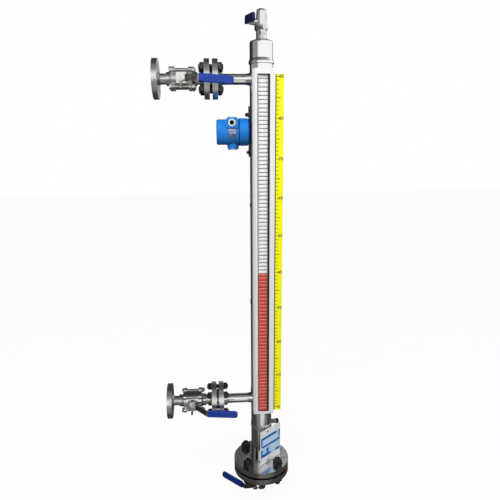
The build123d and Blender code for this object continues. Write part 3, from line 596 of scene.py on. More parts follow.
def clamp_steel():
    """Bright band whose ears and screw are blackened."""
    def recipe(f):
        patch = f.noise(120.0, 3.0, 0.6)
        ears = f.x.step(AXIS_X + TUBE_R + 15.0 * MM, AXIS_X + TUBE_R + 15.5 * MM)
        bright = f.mix(patch.step(0.4, 0.8), (0.66, 0.66, 0.65, 1.0), (0.50, 0.50, 0.49, 1.0))
        f.feed("Base Color", f.mix(ears, bright, (0.02, 0.02, 0.022, 1.0)))
        f.feed("Roughness", patch * 0.15 + ears * 0.15 + 0.15)
        f.set(metallic=0.9)
    return made("clamp_steel", recipe)


def thread_steel(axis, pitch):
    """Dark stud with a thread cut along the given axis."""
    def recipe(f):
        base = colour_set().bolting
        along = {"X": f.x, "Z": f.z}[axis]
        ridge = (along * (2 * math.pi / pitch)).math("SINE") * 0.5 + 0.5
        f.feed("Base Color", f.mix(ridge.step(0.5, 0.95), rgba(base), (0.16, 0.16, 0.165, 1.0)))
        f.feed("Roughness", f.noise(300.0) * 0.2 + 0.25)
        f.set(metallic=0.8)
        f.bump(ridge, 0.8, 0.0006)
    return made("thread_steel_" + axis, recipe)


def gland_metal():
    """Bright ring round a black centre, painted shade inside its bore."""
    def recipe(f):
        patch = f.noise(300.0, 3.0, 0.6)
        # painted shade: near-black inside the gland's bore
        painted_bore_shade = f.from_axis("Y", middle("cable_gland")).step(6.0 * MM, 5.6 * MM)
        bright = f.mix(patch.step(0.4, 0.8), (0.80, 0.80, 0.79, 1.0), (0.58, 0.58, 0.57, 1.0))
        f.feed("Base Color", f.mix(painted_bore_shade, bright, (0.008, 0.006, 0.006, 1.0)))
        f.feed("Metallic", 1.0 - painted_bore_shade)
        f.feed("Roughness", painted_bore_shade * 0.5 + patch * 0.1 + 0.14)
    return made("gland_metal", recipe)


def plate_print():
    """White plate with plain fields of two blues, ruled by white lines."""
    def recipe(f):
        low, high = box("nameplate")
        centre = middle("nameplate")
        run = Vector((high.x - low.x, high.y - low.y, 0.0)).normalized()
        half = (high - low).xy.length / 2
        across = ((f.x - centre.x) * run.x + (f.y - centre.y) * run.y) / half
        down = (high.z - f.z) / (high.z - low.z)
        soft = 0.006
        ink = f.noise(700.0, 2.0, 0.5).step(0.2, 0.9)
        white = (0.86, 0.89, 0.93, 1.0)
        light = f.mix(ink, rgba(colour_set().plate_light), rgba(darker(colour_set().plate_light, 1.25)))
        dark = f.mix(ink, rgba(colour_set().plate_dark), rgba(darker(colour_set().plate_dark, 0.7)))
        field = down.within(0.20, 0.80, soft) * across.within(-0.93, 0.96, soft)
        colour = f.mix(field, white, light)
        lines = (down * 24.0).math("FRACT").within(0.30, 0.80, 0.08)
        rows = down.within(0.29, 0.44, soft) * across.within(-0.66, 0.74, soft) + (
            down.within(0.54, 0.70, soft) * across.within(0.10, 0.80, soft))
        colour = f.mix(rows * lines * 0.85, colour, white)
        gap = down.within(0.505, 0.535, soft) * across.within(-0.93, 0.2, soft)
        colour = f.mix(gap, colour, white)
        for top, end, left, right in PLATE_BARS:
            bar = down.within(top, end, soft) * across.within(left, right, soft)
            colour = f.mix(bar, colour, dark)
        f.feed("Base Color", colour)
        f.feed("Roughness", ink * 0.10 + 0.30)
        f.bump(ink, 0.03, 0.0002)
    return made("plate_print", recipe)


def mottled_label(name, colour):
    """Bare label foil with rubbed patches."""
    return patchy(name, (230.0, 3.0, 0.6), (0.48, 0.62), (colour, darker(colour, 2.1)),
                  (0.2, 0.3), (0.05, 0.0002))


def weld_metal():
    """Brushed weld with a faint heat tint."""
    return patchy("weld_metal", (500.0, 3.0, 0.6), (0.4, 0.7), ((0.55, 0.54, 0.51), (0.36, 0.34, 0.31)),
                  (0.2, 0.22), metallic=1.0)


# Meshes

class Pile:
    """Vertices and faces of one piece, gathered from several shapes."""

    def __init__(self):
        self.verts = []
        self.faces = []

    def add(self, verts, faces, seat=None):
        first = len(self.verts)
        for v in verts:
            point = Vector(v)
            self.verts.append(seat @ point if seat is not None else point)
        for face in faces:
            self.faces.append([first + k for k in face])
        return self

    def piece(self, name, body, slot, material):
        mesh = bpy.data.meshes.new(name)
        mesh.from_pydata([tuple(v) for v in self.verts], [], self.faces)
        mesh.materials.append(material)
        point_outwards(mesh)
        shade(mesh, SMOOTH)
        return settle(bpy.data.objects.new(name, mesh), body)


def point_outwards(mesh):
    work = bmesh.new()
    work.from_mesh(mesh)
    bmesh.ops.remove_doubles(work, verts=work.verts, dist=1e-7)
    bmesh.ops.recalc_face_normals(work, faces=work.faces)
    work.to_mesh(mesh)
    work.free()


def shade(mesh, smooth):
    """Smooth shading with sharp edges above an angle in degrees."""
    mesh.shade_smooth()
    mesh.set_sharp_from_angle(angle=math.radians(smooth))


def settle(obj, body):
    """Links a piece and says what it rides on."""
    bpy.context.scene.collection.objects.link(obj)
    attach(obj, body)
    return obj


def seat_at(origin, axis):
    """Places a shape made along Z at origin, with Z along axis."""
    turn = Vector(axis).to_track_quat("Z", "Y").to_matrix().to_4x4()
    return Matrix.Translation(origin) @ turn


def turned(points, steps):
    """Shape turned about Z from (radius, height) points; an open outline ends on the axis."""
    verts = []
    rings = []
    for radius, height in points:
        if radius <= 1e-9:
            rings.append([len(verts)])
            verts.append((0.0, 0.0, height))
            continue
        rings.append(list(range(len(verts), len(verts) + steps)))
        for k in range(steps):
            a = 2 * math.pi * k / steps
            verts.append((radius * math.cos(a), radius * math.sin(a), height))
    faces = []
    for one, two in zip(rings, rings[1:]):
        for k in range(steps):
            n = (k + 1) % steps
            face = [one[k % len(one)], one[n % len(one)], two[n % len(two)], two[k % len(two)]]
            clean = [v for i, v in enumerate(face) if v != face[i - 1]]
            if len(clean) > 2:
                faces.append(clean)
    return verts, faces


def extruded(outline, low, high):
    """Prism of an (x, y) outline between two heights."""
    n = len(outline)
    verts = [(x, y, low) for x, y in outline] + [(x, y, high) for x, y in outline]
    faces = [list(range(n))[::-1], list(range(n, 2 * n))]
    faces += [[k, (k + 1) % n, n + (k + 1) % n, n + k] for k in range(n)]
    return verts, faces


def brick(low, high):
    verts = [(x, y, z) for x in (low[0], high[0]) for y in (low[1], high[1]) for z in (low[2], high[2])]
    faces = [(0, 1, 3, 2), (4, 6, 7, 5), (0, 4, 5, 1), (2, 3, 7, 6), (0, 2, 6, 4), (1, 5, 7, 3)]
    return verts, faces


def rings_solid(rings):
    """Closed solid through equal rings of points, with flat ends."""
    n = len(rings[0])
    verts = [v for ring in rings for v in ring]
    faces = [list(range(n))[::-1], list(range((len(rings) - 1) * n, len(rings) * n))]
    for k in range(len(rings) - 1):
        for i in range(n):
            j = (i + 1) % n
            faces.append([k * n + i, k * n + j, (k + 1) * n + j, (k + 1) * n + i])
    return verts, faces


def hex_nut(across, height, bore, steps=48):
    """Hexagon nut with 30 degree chamfers and a round hole, made along Z."""
    half = across / 2

    def corner(a):
        return half / math.cos((a + math.pi / 6) % (math.pi / 3) - math.pi / 6)

    def drop(a):
        return (corner(a) - half * 0.97) * math.tan(math.radians(30))

    levels = (lambda a: (half * 0.95, 0.0), lambda a: (corner(a), drop(a)),
              lambda a: (corner(a), height - drop(a)), lambda a: (half * 0.95, height),
              lambda a: (bore, height), lambda a: (bore, 0.0))
    verts = []
    for level in levels:
        for k in range(steps):
            a = 2 * math.pi * k / steps
            r, h = level(a)
            verts.append((r * math.cos(a), r * math.sin(a), h))
    faces = []
    for k in range(len(levels)):
        one = k * steps
        two = (k + 1) % len(levels) * steps
        for i in range(steps):
            j = (i + 1) % steps
            faces.append([one + i, one + j, two + j, two + i])
    return verts, faces


def lumps(node):
    """Box of each loose solid of a node, as (low, high) pairs in order of height."""
    work = bmesh.new()
    work.from_mesh(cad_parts[node].data)
    bmesh.ops.remove_doubles(work, verts=work.verts, dist=1e-6)
    seen = set()
    boxes = []
    for start in work.verts:
        if start in seen:
            continue
        stack = [start]
        seen.add(start)
        island = []
        while stack:
            vert = stack.pop()
            island.append(vert.co.copy())
            for edge in vert.link_edges:
                other = edge.other_vert(vert)
                if other not in seen:
                    seen.add(other)
                    stack.append(other)
        low = Vector([min(p[k] for p in island) for k in range(3)])
        high = Vector([max(p[k] for p in island) for k in range(3)])
        boxes.append((low, high))
    work.free()
    return sorted(boxes, key=lambda b: (round(b[0].z, 4), round(b[0].x, 4), round(b[0].y, 4)))


# Geometry trees for what repeats

class Grower:
    """A geometry tree with named inputs, run into a plain mesh."""

    def __init__(self, name, inputs):
        self.tree = bpy.data.node_groups.new(name, "GeometryNodeTree")
        face = self.tree.interface
        face.new_socket("Geometry", in_out="OUTPUT", socket_type="NodeSocketGeometry")
        self.keys = {}
        for label, kind in inputs.items():
            self.keys[label] = face.new_socket(label, in_out="INPUT", socket_type=kind).identifier
        self.given = self.tree.nodes.new("NodeGroupInput")
        self.end = self.tree.nodes.new("NodeGroupOutput")

    def node(self, kind, settings=None, sockets=None):
        return add_node(self.tree, kind, settings, sockets)

    def input(self, label):
        return self.given.outputs[label]

    def close(self, geometry):
        """Ends the tree in Realize Instances and Set Material."""
        whole = self.node("GeometryNodeRealizeInstances", None, {"Geometry": geometry})
        painted = self.node("GeometryNodeSetMaterial", None,
                            {"Geometry": whole.outputs[0], "Material": self.input("Material")})
        self.tree.links.new(painted.outputs[0], self.end.inputs[0])

    def grow(self, name, body, slot, smooth=SMOOTH, **values):
        holder = bpy.data.objects.new(name + "_grown", bpy.data.meshes.new(name + "_grown"))
        bpy.context.scene.collection.objects.link(holder)
        modifier = holder.modifiers.new("grow", "NODES")
        modifier.node_group = self.tree
        for label, value in values.items():
            modifier[self.keys[label.replace("_", " ")]] = value
        graph = bpy.context.evaluated_depsgraph_get()
        mesh = bpy.data.meshes.new_from_object(holder.evaluated_get(graph), depsgraph=graph)
        mesh.name = name
        shade(mesh, smooth)
        holder.modifiers.remove(modifier)
        bpy.data.objects.remove(holder)
        return settle(bpy.data.objects.new(name, mesh), body)


GROWERS = {}


def grower(name, recipe):
    if name not in GROWERS:
        GROWERS[name] = recipe()
    return GROWERS[name]


def row_grower():
    """Copies of one item in a straight row."""
    def recipe():
        g = Grower("gauge_row", {"Item": "NodeSocketObject", "Count": "NodeSocketInt",
                                 "Start": "NodeSocketVector", "Step": "NodeSocketVector",
                                 "Material": "NodeSocketMaterial"})
        line = g.node("GeometryNodeMeshLine", {"mode": "OFFSET"},
                      {"Count": g.input("Count"), "Start Location": g.input("Start"),
                       "Offset": g.input("Step")})
        item = g.node("GeometryNodeObjectInfo", None, {"Object": g.input("Item")})
        copies = g.node("GeometryNodeInstanceOnPoints", None,
                        {"Points": line.outputs[0], "Instance": item.outputs["Geometry"]})
        g.close(copies.outputs[0])
        return g
    return grower("row", recipe)


def spot_grower():
    """Copies of one item on the vertices of a spot mesh, all turned alike."""
    def recipe():
        g = Grower("gauge_spots", {"Item": "NodeSocketObject", "Spots": "NodeSocketObject",
                                   "Turn": "NodeSocketVector", "Material": "NodeSocketMaterial"})
        spots = g.node("GeometryNodeObjectInfo", None, {"Object": g.input("Spots")})
        item = g.node("GeometryNodeObjectInfo", None, {"Object": g.input("Item")})
        copies = g.node("GeometryNodeInstanceOnPoints", None,
                        {"Points": spots.outputs["Geometry"], "Instance": item.outputs["Geometry"],
                         "Rotation": g.input("Turn")})
        g.close(copies.outputs[0])
        return g
    return grower("spots", recipe)


def bead_grower():
    """Rippled weld bead along a curve."""
    def recipe():
        g = Grower("gauge_bead", {"Path": "NodeSocketObject", "Radius": "NodeSocketFloat",
                                  "Ripple": "NodeSocketFloat", "Pitch": "NodeSocketFloat",
                                  "Material": "NodeSocketMaterial"})
        path = g.node("GeometryNodeObjectInfo", None, {"Object": g.input("Path")})
        even = g.node("GeometryNodeResampleCurve", {"mode": "LENGTH"},
                      {"Curve": path.outputs["Geometry"], "Length": 0.45 * MM})
        run = g.node("GeometryNodeSplineParameter")
        wave = Val(g.tree, run.outputs["Length"]) / Val(g.tree, g.input("Pitch")) * (2 * math.pi)
        ripple = wave.math("SINE").math("ABSOLUTE") * Val(g.tree, g.input("Ripple"))
        height = ripple + Val(g.tree, g.input("Radius"))
        ring = g.node("GeometryNodeCurvePrimitiveCircle", None, {"Resolution": 10, "Radius": 1.0})
        tube = g.node("GeometryNodeCurveToMesh", None,
                      {"Curve": even.outputs[0], "Profile Curve": ring.outputs[0], "Scale": height})
        g.close(tube.outputs[0])
        return g
    return grower("bead", recipe)


def item_object(name, verts, faces):
    """A shape that only the geometry trees use."""
    mesh = bpy.data.meshes.new(name)
    mesh.from_pydata([tuple(v) for v in verts], [], faces)
    point_outwards(mesh)
    return bpy.data.objects.new(name, mesh)


def spot_object(name, points):
    mesh = bpy.data.meshes.new(name)
    mesh.from_pydata([tuple(p) for p in points], [], [])
    return bpy.data.objects.new(name, mesh)


def path_object(name, points):
    """A closed line through points, for a bead to follow."""
    curve = bpy.data.curves.new(name, "CURVE")
    curve.dimensions = "3D"
    spline = curve.splines.new("POLY")
    spline.points.add(len(points) - 1)
    for point, place in zip(spline.points, points):
        point.co = (place[0], place[1], place[2], 1.0)
    spline.use_cyclic_u = True
    return bpy.data.objects.new(name, curve)


# Stage

def ray_kinds(tree):
    """Whether a ray is seen by the camera, also through glass, and whether it is a reflection."""
    path = add_node(tree, "ShaderNodeLightPath")
    seen, clear, gloss = (Val(tree, path.outputs["Is " + kind + " Ray"])
                          for kind in ("Camera", "Transmission", "Glossy"))
    return seen.math("MAXIMUM", clear), gloss


def build_world(strength):
    """White to the camera; reflections see a white studio with dark sides, roof and back.

    Angles are in degrees, turned from -Y (the camera's side) towards +X, and risen from the horizon.
    """
    world = bpy.data.worlds.new("studio")
    world.use_nodes = True
    tree = world.node_tree
    tree.nodes.clear()
    way = add_node(tree, "ShaderNodeTexCoord").outputs["Generated"]
    parts = add_node(tree, "ShaderNodeSeparateXYZ", None, {"Vector": way})
    x, y, z = (Val(tree, parts.outputs[k]) for k in range(3))
    turn = x.math("ARCTAN2", y * -1.0) * (180 / math.pi)
    rise = z.math("ARCSINE") * (180 / math.pi)
    left_flag = turn.step(-104.0, -92.0) * 0.26 + turn.step(-44.0, -36.0) * 0.74
    right_back = 1.0 - turn.step(118.0, 130.0) * 0.55
    roof = 1.0 - rise.step(26.0, 48.0) * 0.80
    behind = 1.0 - turn.math("ABSOLUTE").step(140.0, 150.0) * rise.step(18.0, 24.0) * 0.86
    skylight = turn.within(167.5, 172.7, 0.6) * rise.within(36.2, 47.0, 1.0)
    studio = left_flag * right_back * roof * behind + skylight * 1.1 + 0.03
    white, gloss = ray_kinds(tree)
    level = white + (1.0 - white) * (gloss * studio + (1.0 - gloss) * strength)
    shade = add_node(tree, "ShaderNodeBackground", None,
                     {"Color": (1.0, 1.0, 1.0, 1.0), "Strength": level})
    add_node(tree, "ShaderNodeOutputWorld", None, {"Surface": shade.outputs[0]})
    bpy.context.scene.world = world


def build_floor(height):
    """Pale floor that is white to the camera but keeps the shadow."""
    finish = Finish("stage_floor")
    speck = finish.noise(6.0, 2.0, 0.5)
    ahead = finish.y.step(-0.33, -0.40)
    card = finish.x.within(FLOOR_CARD[0], FLOOR_CARD[1], 0.03) * ahead
    left = finish.x.step(FLOOR_CARD[0] + 0.02, FLOOR_CARD[0] - 0.02) * finish.y.step(-0.20, -0.27)
    near = finish.y.step(-0.15, -0.20) * finish.x.step(0.19, 0.25)
    finish.set(roughness=0.9, specular_ior_level=0.1)
    seen, gloss = ray_kinds(finish.tree)
    pale = finish.mix(speck.step(0.3, 0.7), (0.92, 0.92, 0.92, 1.0), (0.89, 0.89, 0.89, 1.0))
    finish.feed("Base Color", finish.mix(seen, (0.16, 0.16, 0.16, 1.0), pale))
    glow = finish.node("ShaderNodeEmission", None, {"Color": (1.0, 1.0, 1.0, 1.0), "Strength": 1.0})
    patches = card * 0.62 + left * 0.17 + near * 0.13 + 0.04
    dull = finish.node("ShaderNodeEmission", None, {"Color": (1.0, 1.0, 0.96, 1.0), "Strength": patches})
    lit = finish.node("ShaderNodeMixShader", None,
                      {0: gloss * 0.9, 1: finish.shader.outputs[0], 2: dull.outputs[0]})
    both = finish.node("ShaderNodeMixShader", None,
                       {0: seen * 0.94, 1: lit.outputs[0], 2: glow.outputs[0]})
    finish.tree.links.new(both.outputs[0], finish.out.inputs["Surface"])
    verts, faces = brick((-FLOOR_HALF, -FLOOR_HALF, height - 0.02), (FLOOR_HALF, FLOOR_HALF, height))
    mesh = bpy.data.meshes.new("stage_floor")
    mesh.from_pydata(verts, [], faces)
    mesh.materials.append(finish.material)
    floor = bpy.data.objects.new("stage_floor", mesh)
    bpy.context.scene.collection.objects.link(floor)


def add_lamp(name, place, size, power):
    lamp = bpy.data.lights.new(name, "AREA")
    lamp.shape = "RECTANGLE"
    lamp.size = size[0]
    lamp.size_y = size[1]
    lamp.energy = power
    obj = bpy.data.objects.new(name, lamp)
    way = Vector(LAMP_AIM) - Vector(place)
    obj.matrix_world = Matrix.Translation(place) @ way.to_track_quat("-Z", "Y").to_matrix().to_4x4()
    obj.visible_glossy = False
    bpy.context.scene.collection.objects.link(obj)


def build_camera():
    stage = stage_set()
    turn = stage.camera_turn
    tilt = stage.camera_tilt
    ahead = Vector((math.sin(turn) * math.cos(tilt), math.cos(turn) * math.cos(tilt), -math.sin(tilt)))
    right = Vector((math.cos(turn), -math.sin(turn), 0.0))
    up = right.cross(ahead)
    roll = stage.camera_roll
    side = right * math.cos(roll) + up * math.sin(roll)
    top = -right * math.sin(roll) + up * math.cos(roll)
    camera = bpy.data.cameras.new("photo_camera")
    camera.lens = stage.lens
    camera.sensor_width = 36.0
    camera.shift_x = stage.shift
    camera.clip_start = 0.01
    obj = bpy.data.objects.new("photo_camera", camera)
    pose = Matrix((side, top, -ahead)).transposed().to_4x4()
    obj.matrix_world = Matrix.Translation(Vector(stage.camera_place)) @ pose
    bpy.context.scene.collection.objects.link(obj)
    bpy.context.scene.camera = obj


class GAUGE_OT_stage(bpy.types.Operator):
    """Camera at the photograph's angle, pale floor and soft light"""
    bl_idname = "gauge.stage"
    bl_label = "Stage"

    def execute(self, context):
        scene = context.scene
        scene.view_settings.view_transform = "Standard"
        build_camera()
        build_world(stage_set().sky)
        build_floor(CAD_BOX[0][2] - stage_set().floor_gap)
        add_lamp("key", (-0.5, -1.7, 2.3), (1.3, 1.3), 43.0)
        add_lamp("side", (1.9, -1.2, 0.9), (0.8, 1.8), 12.0)
        return {"FINISHED"}


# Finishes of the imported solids

def paint(node, material):
    """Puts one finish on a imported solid."""
    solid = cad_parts[node]
    if not solid.material_slots:
        solid.data.materials.append(material)
    for slot in solid.material_slots:
        slot.material = material


class GAUGE_OT_finishes(bpy.types.Operator):
    """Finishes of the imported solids"""
    bl_idname = "gauge.finishes"
    bl_label = "Finishes"

    def execute(self, context):
        joint = turned_steel("X", (0.0, 0.0, 0.0), "joint_turned_steel")
        bottom = turned_steel("Z", (AXIS_X, 0.0, 0.0), "bottom_turned_steel", 0.08)
        finishes = [
            (tube_steel(), ("chamber_tube", "top_reducer")),
            (pipe_steel(), ("nozzle_pipes",)),
            (bottom, ("chamber_flange", "drain_flange")),
            (joint, ("valve_side_flanges", "nozzle_flanges")),
            (cast_steel(), ("lower_valve_body", "upper_valve_body", "valve_end_caps", "vent_valve_body",
                            "drain_valve_body", "vent_nipple", "drain_nipple", "vent_plug", "lower_ball_stem",
                            "upper_ball_stem", "vent_ball_stem", "drain_ball_stem")),
            (dark_steel(), ("chamber_nuts", "flange_nuts", "float_magnet")),
            (clamp_steel(), ("nameplate_clamp",)),
            (thread_steel("Z", 2.0 * MM), ("chamber_studs",)),
            (thread_steel("X", 1.75 * MM), ("flange_studs",)),
            (grey_steel(), ("strap_bands", "transmitter_bracket", "sensor_tube")),
            (bright_bolt(), ("valve_body_bolts", "float_shell", "transmitter_plug", "nameplate_rivets")),
            (strip_steel(), ("lower_lever", "upper_lever", "vent_lever", "drain_lever")),
            (grip_vinyl("grip_vinyl", 1.0), ("lower_grip", "upper_grip")),
            # painted shade: the vent grip is a darker copy of the grip finish
            (grip_vinyl("vent_grip_painted_shade_vinyl", 0.22), ("vent_grip",)),
            (grip_vinyl("drain_grip_vinyl", 0.75), ("drain_grip",)),
            (graphite(), ("chamber_gasket", "flange_gaskets")),
            (seat_plastic(), ("valve_seats",)),
            (case_silver(), ("indicator_housing",)),
            (window_clear(), ("indicator_window",)),
            (carrier_black(), ("flap_carrier",)),
            (flap_red(), ("red_flaps", "turning_red_flap")),
            (flap_white(), ("white_flaps", "turning_white_flap")),
            (ruler_yellow(), ("scale_plate",)),
            (head_paint(), ("transmitter_body", "transmitter_left_cover", "transmitter_right_cover")),
            (gland_metal(), ("cable_gland",)),
            (board_green(), ("circuit_board",)),
            (plate_print(), ("nameplate",)),
        ]
        for line in LINES:
            steel = turned_steel("X", (0.0, 0.0, LINE_Z[line]), line + "_turned_steel")
            finishes.append((steel, (line + "_end_flange",)))
        for material, nodes in finishes:
            for node in nodes:
                paint(node, material)
        return {"FINISHED"}


# Ruler print

def face_print(x, z):
    """Place on the ruler's face, x from its left edge."""
    high = box("scale_plate")[1]
    front = box("scale_plate")[0].y
    return Vector((high.x - detail_set().ruler_width + x, front - detail_set().ink, z))


def figure_shape(text, size, place):
    """Figures as a thin solid that faces the front, centred at a place."""
    curve = bpy.data.curves.new("figures", "FONT")
    curve.body = text
    curve.size = size * 1.35
    curve.align_x = "CENTER"
    curve.align_y = "CENTER"
    curve.extrude = detail_set().ink
    curve.offset = 0.12 * MM
    curve.resolution_u = 4
    holder = bpy.data.objects.new("figures", curve)
    bpy.context.scene.collection.objects.link(holder)
    graph = bpy.context.evaluated_depsgraph_get()
    mesh = bpy.data.meshes.new_from_object(holder.evaluated_get(graph), depsgraph=graph)
    seat = Matrix.Translation(place) @ Matrix.Rotation(math.pi / 2, 4, "X")
    verts = [seat @ v.co for v in mesh.vertices]
    faces = [list(p.vertices) for p in mesh.polygons]
    bpy.data.objects.remove(holder)
    bpy.data.meshes.remove(mesh)
    bpy.data.curves.remove(curve)
    return verts, faces


def tick_row(name, first, pitch, count, start, end, material):
    """Equal lines up the ruler, each from start to end across its face."""
    detail = detail_set()
    half = detail.tick_height / 2
    item = item_object(name + "_item", *brick((start, 0.0, -half), (end, detail.ink * 1.5, half)))
    row_grower().grow(name, ROOT, "ruler_yellow", Item=item, Count=count, Start=face_print(0.0, first),
                      Step=(0.0, 0.0, pitch), Material=material)
    bpy.data.objects.remove(item)


class GAUGE_OT_ruler(bpy.types.Operator):
    """Lines and figures on the ruler"""
    bl_idname = "gauge.ruler"
    bl_label = "Ruler print"

    def execute(self, context):
        detail = detail_set()
        ink = plain_ink("ruler_ink", colour_set().print_dark)
        olive = plain_ink("ruler_lines", darker(colour_set().print_dark, 2.4))
        zero = LINE_Z["lower"]
        span = LINE_Z["upper"] - zero
        pitch = detail.tick_pitch
        for name, step, end, print_ink in (("ruler_lines", pitch, detail.tick_short, olive),
                                           ("ruler_fifths", 5 * pitch, detail.tick_long, ink)):
            tick_row(name, zero, step, round(span / step) + 1, 0.3 * MM, end, print_ink)
        figures = Pile()
        for k in range(round(span / (10 * pitch)) + 1):
            place = face_print(detail.ruler_width * 0.70, zero + 10 * pitch * k)
            figures.add(*figure_shape(str(10 * k), detail.figure, place))
        figures.piece("ruler_figures", ROOT, "ruler_yellow", ink)
        return {"FINISHED"}


# Flaps

def flap_outline():
    """Crowned section of a flap as (depth, height) points."""
    detail = detail_set()
    half = detail.flap_height / 2
    thick = (box("red_flaps")[1].y - box("red_flaps")[0].y) / 2
    front = []
    for k in range(-4, 5):
        t = k / 4
        front.append((-(thick - detail.flap_bulge * t * t), half * t))
    return front + [(-d, -h) for d, h in front]


def swept(outline, wide, centre):
    """An outline of (depth, height) points swept along X to both sides of a centre."""
    along_x = Matrix(((0, 0, 1, 0), (1, 0, 0, 0), (0, 1, 0, 0), (0, 0, 0, 1)))
    verts, faces = extruded(outline, -wide, wide)
    return [Vector(centre) + along_x @ Vector(v) for v in verts], faces


def flap_shape(centre):
    """One crowned flap."""
    low, high = box("red_flaps")
    return swept(flap_outline(), (high.x - low.x) / 2, centre)


def lip_shape(centre):
    """Raised pale strip along a flap's upper edge; its pale pink is painted highlight, partly the edge of the
    flap's white back.
    """
    low, high = box("red_flaps")
    thick = (high.y - low.y) / 2
    top = detail_set().flap_height / 2
    wide = (high.x - low.x) / 2 - 1.0 * MM
    out = [(-thick + 0.30 * MM, top - 1.8 * MM), (-thick - 0.05 * MM, top - 1.6 * MM),
           (-thick + 0.02 * MM, top - 0.7 * MM), (-thick + 0.75 * MM, top - 0.3 * MM)]
    return swept(out, wide, centre)


def flap_rows(name, node, shape, material, slot):
    """A flap or lip for each flap of a node, grown as one mesh."""
    low, high = box(node)
    pitch = detail_set().flap_pitch
    count = round((high.z - low.z) / pitch)
    first = (low.z + high.z) / 2 - (count - 1) / 2 * pitch
    item = item_object(name + "_item", *shape((0.0, 0.0, 0.0)))
    grown = row_grower().grow(name, ROOT, slot, Item=item, Count=count,
                              Start=((low.x + high.x) / 2, (low.y + high.y) / 2, first),
                              Step=(0.0, 0.0, pitch), Material=material)
    bpy.data.objects.remove(item)
    return grown


class GAUGE_OT_flaps(bpy.types.Operator):
    """Crowned flaps with pale lips, the turning pair included"""
    bl_idname = "gauge.flaps"
    bl_label = "Flaps"

    def execute(self, context):
        # The lips' pale pink is painted highlight on the flaps' upper edges, partly the white back showing
        # there.
        painted_shading = plain_ink("flap_lip", (0.88, 0.38, 0.30))
        for side, finish in (("red", flap_red()), ("white", flap_white())):
            rows = side + "_flaps"
            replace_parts(flap_rows(side + "_flap_faces", rows, flap_shape, finish, "flap_" + side), rows)
        flap_rows("red_flap_lips", "red_flaps", lip_shape, painted_shading, "flap_red")
        for side, finish in (("red", flap_red()), ("white", flap_white())):
            node = "turning_" + side + "_flap"
            centre = middle(node)
            flap = Pile().add(*flap_shape(centre))
            low, high = box(node)
            verts, faces = turned([(0.0, low.x), (0.8 * MM, low.x), (0.8 * MM, high.x), (0.0, high.x)], 16)
            across = Matrix.Translation((0.0, centre.y, centre.z)) @ Matrix.Rotation(math.pi / 2, 4, "Y")
            flap.add(verts, faces, across)
            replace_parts(flap.piece(node + "_face", side + "_flap", "flap_" + side, finish), node)
        turning_lip = Pile().add(*lip_shape(middle("turning_red_flap")))
        turning_lip.piece("turning_red_lip", "red_flap", "flap_red", painted_shading)
        return {"FINISHED"}


# Fasteners

def hex_seat(low, high, axis):
    """Seat whose Z runs along axis from the low end, with X across the flats."""
    k = "XYZ".index(axis)
    narrow = min((i for i in range(3) if i != k), key=lambda i: high[i] - low[i])
    way = Vector([1.0 if i == k else 0.0 for i in range(3)])
    flat = Vector([1.0 if i == narrow else 0.0 for i in range(3)])
    return Matrix((flat, way.cross(flat), way)).transposed()


def grown_copies(name, node, axis, shape, material, slot):
    """Copies of a shape on the low end of each solid of a node, which they replace."""
    boxes = lumps(node)
    k = "XYZ".index(axis)
    spots = []
    for low, high in boxes:
        spot = (low + high) / 2
        spot[k] = low[k]
        spots.append(spot)
    turn = hex_seat(*boxes[0], axis).to_euler()
    item = item_object(name + "_item", *shape)
    points = spot_object(name + "_spots", spots)
    grown = spot_grower().grow(name, ROOT, slot, Item=item, Spots=points, Turn=tuple(turn), Material=material)
    for extra in (item, points):
        bpy.data.objects.remove(extra)
    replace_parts(grown, node)


def nut_shape(node, axis, bore):
    """A nut as wide and as high as a node's first solid."""
    low, high = lumps(node)[0]
    k = "XYZ".index(axis)
    across = min(high[i] - low[i] for i in range(3) if i != k)
    return hex_nut(across, high[k] - low[k], bore)


def bolt_shape():
    """Valve bolt: chamfered head, shank and nut, along Z from the head's outer face."""
    low, high = lumps("valve_body_bolts")[0]
    across = min(high.y - low.y, high.z - low.z)
    whole = high.x - low.x
    sunk = BOLT_HEAD * 0.12
    hole = BOLT_SHANK * 0.98
    bolt = Pile()
    bolt.add(*hex_nut(across, BOLT_HEAD, hole))
    bolt.add(*turned([(0.0, sunk), (BOLT_SHANK, sunk), (BOLT_SHANK, whole - 0.8 * MM),
                      (BOLT_SHANK - 0.7 * MM, whole), (0.0, whole)], 20))
    nut_place = Matrix.Translation((0.0, 0.0, whole - BOLT_OVER - BOLT_NUT))
    bolt.add(*hex_nut(across, BOLT_NUT, hole), nut_place)
    return bolt.verts, bolt.faces


class GAUGE_OT_fasteners(bpy.types.Operator):
    """Chamfered nuts and bolts"""
    bl_idname = "gauge.fasteners"
    bl_label = "Fasteners"

    def execute(self, context):
        for joint, axis, bore in (("flange", "X", 6.03 * MM), ("chamber", "Z", 8.03 * MM)):
            node = joint + "_nuts"
            nut = nut_shape(node, axis, bore)
            grown_copies(joint + "_nut_set", node, axis, nut, dark_steel(), "dark_bolting")
        grown_copies("valve_bolt_set", "valve_body_bolts", "X", bolt_shape(), bright_bolt(), "small_bolts")
        return {"FINISHED"}


# Welds

def round_angles(steps=72):
    return [2 * math.pi * k / steps for k in range(steps)]


def circle_path(axis, centre, radius):
    """Circle about X or Z."""
    points = []
    for a in round_angles():
        one, two = radius * math.cos(a), radius * math.sin(a)
        points.append(Vector(centre) + Vector((0.0, one, two) if axis == "X" else (one, two, 0.0)))
    return points


def saddle_path(z, root):
    """Line where a nozzle's flared foot meets the chamber."""
    points = []
    for a in round_angles():
        y = root * (1.0 + 0.10 * abs(math.cos(a))) * math.cos(a)
        x = AXIS_X - math.sqrt((TUBE_R + 0.2 * MM) ** 2 - y * y)
        points.append(Vector((x, y, z + root * math.sin(a))))
    return points


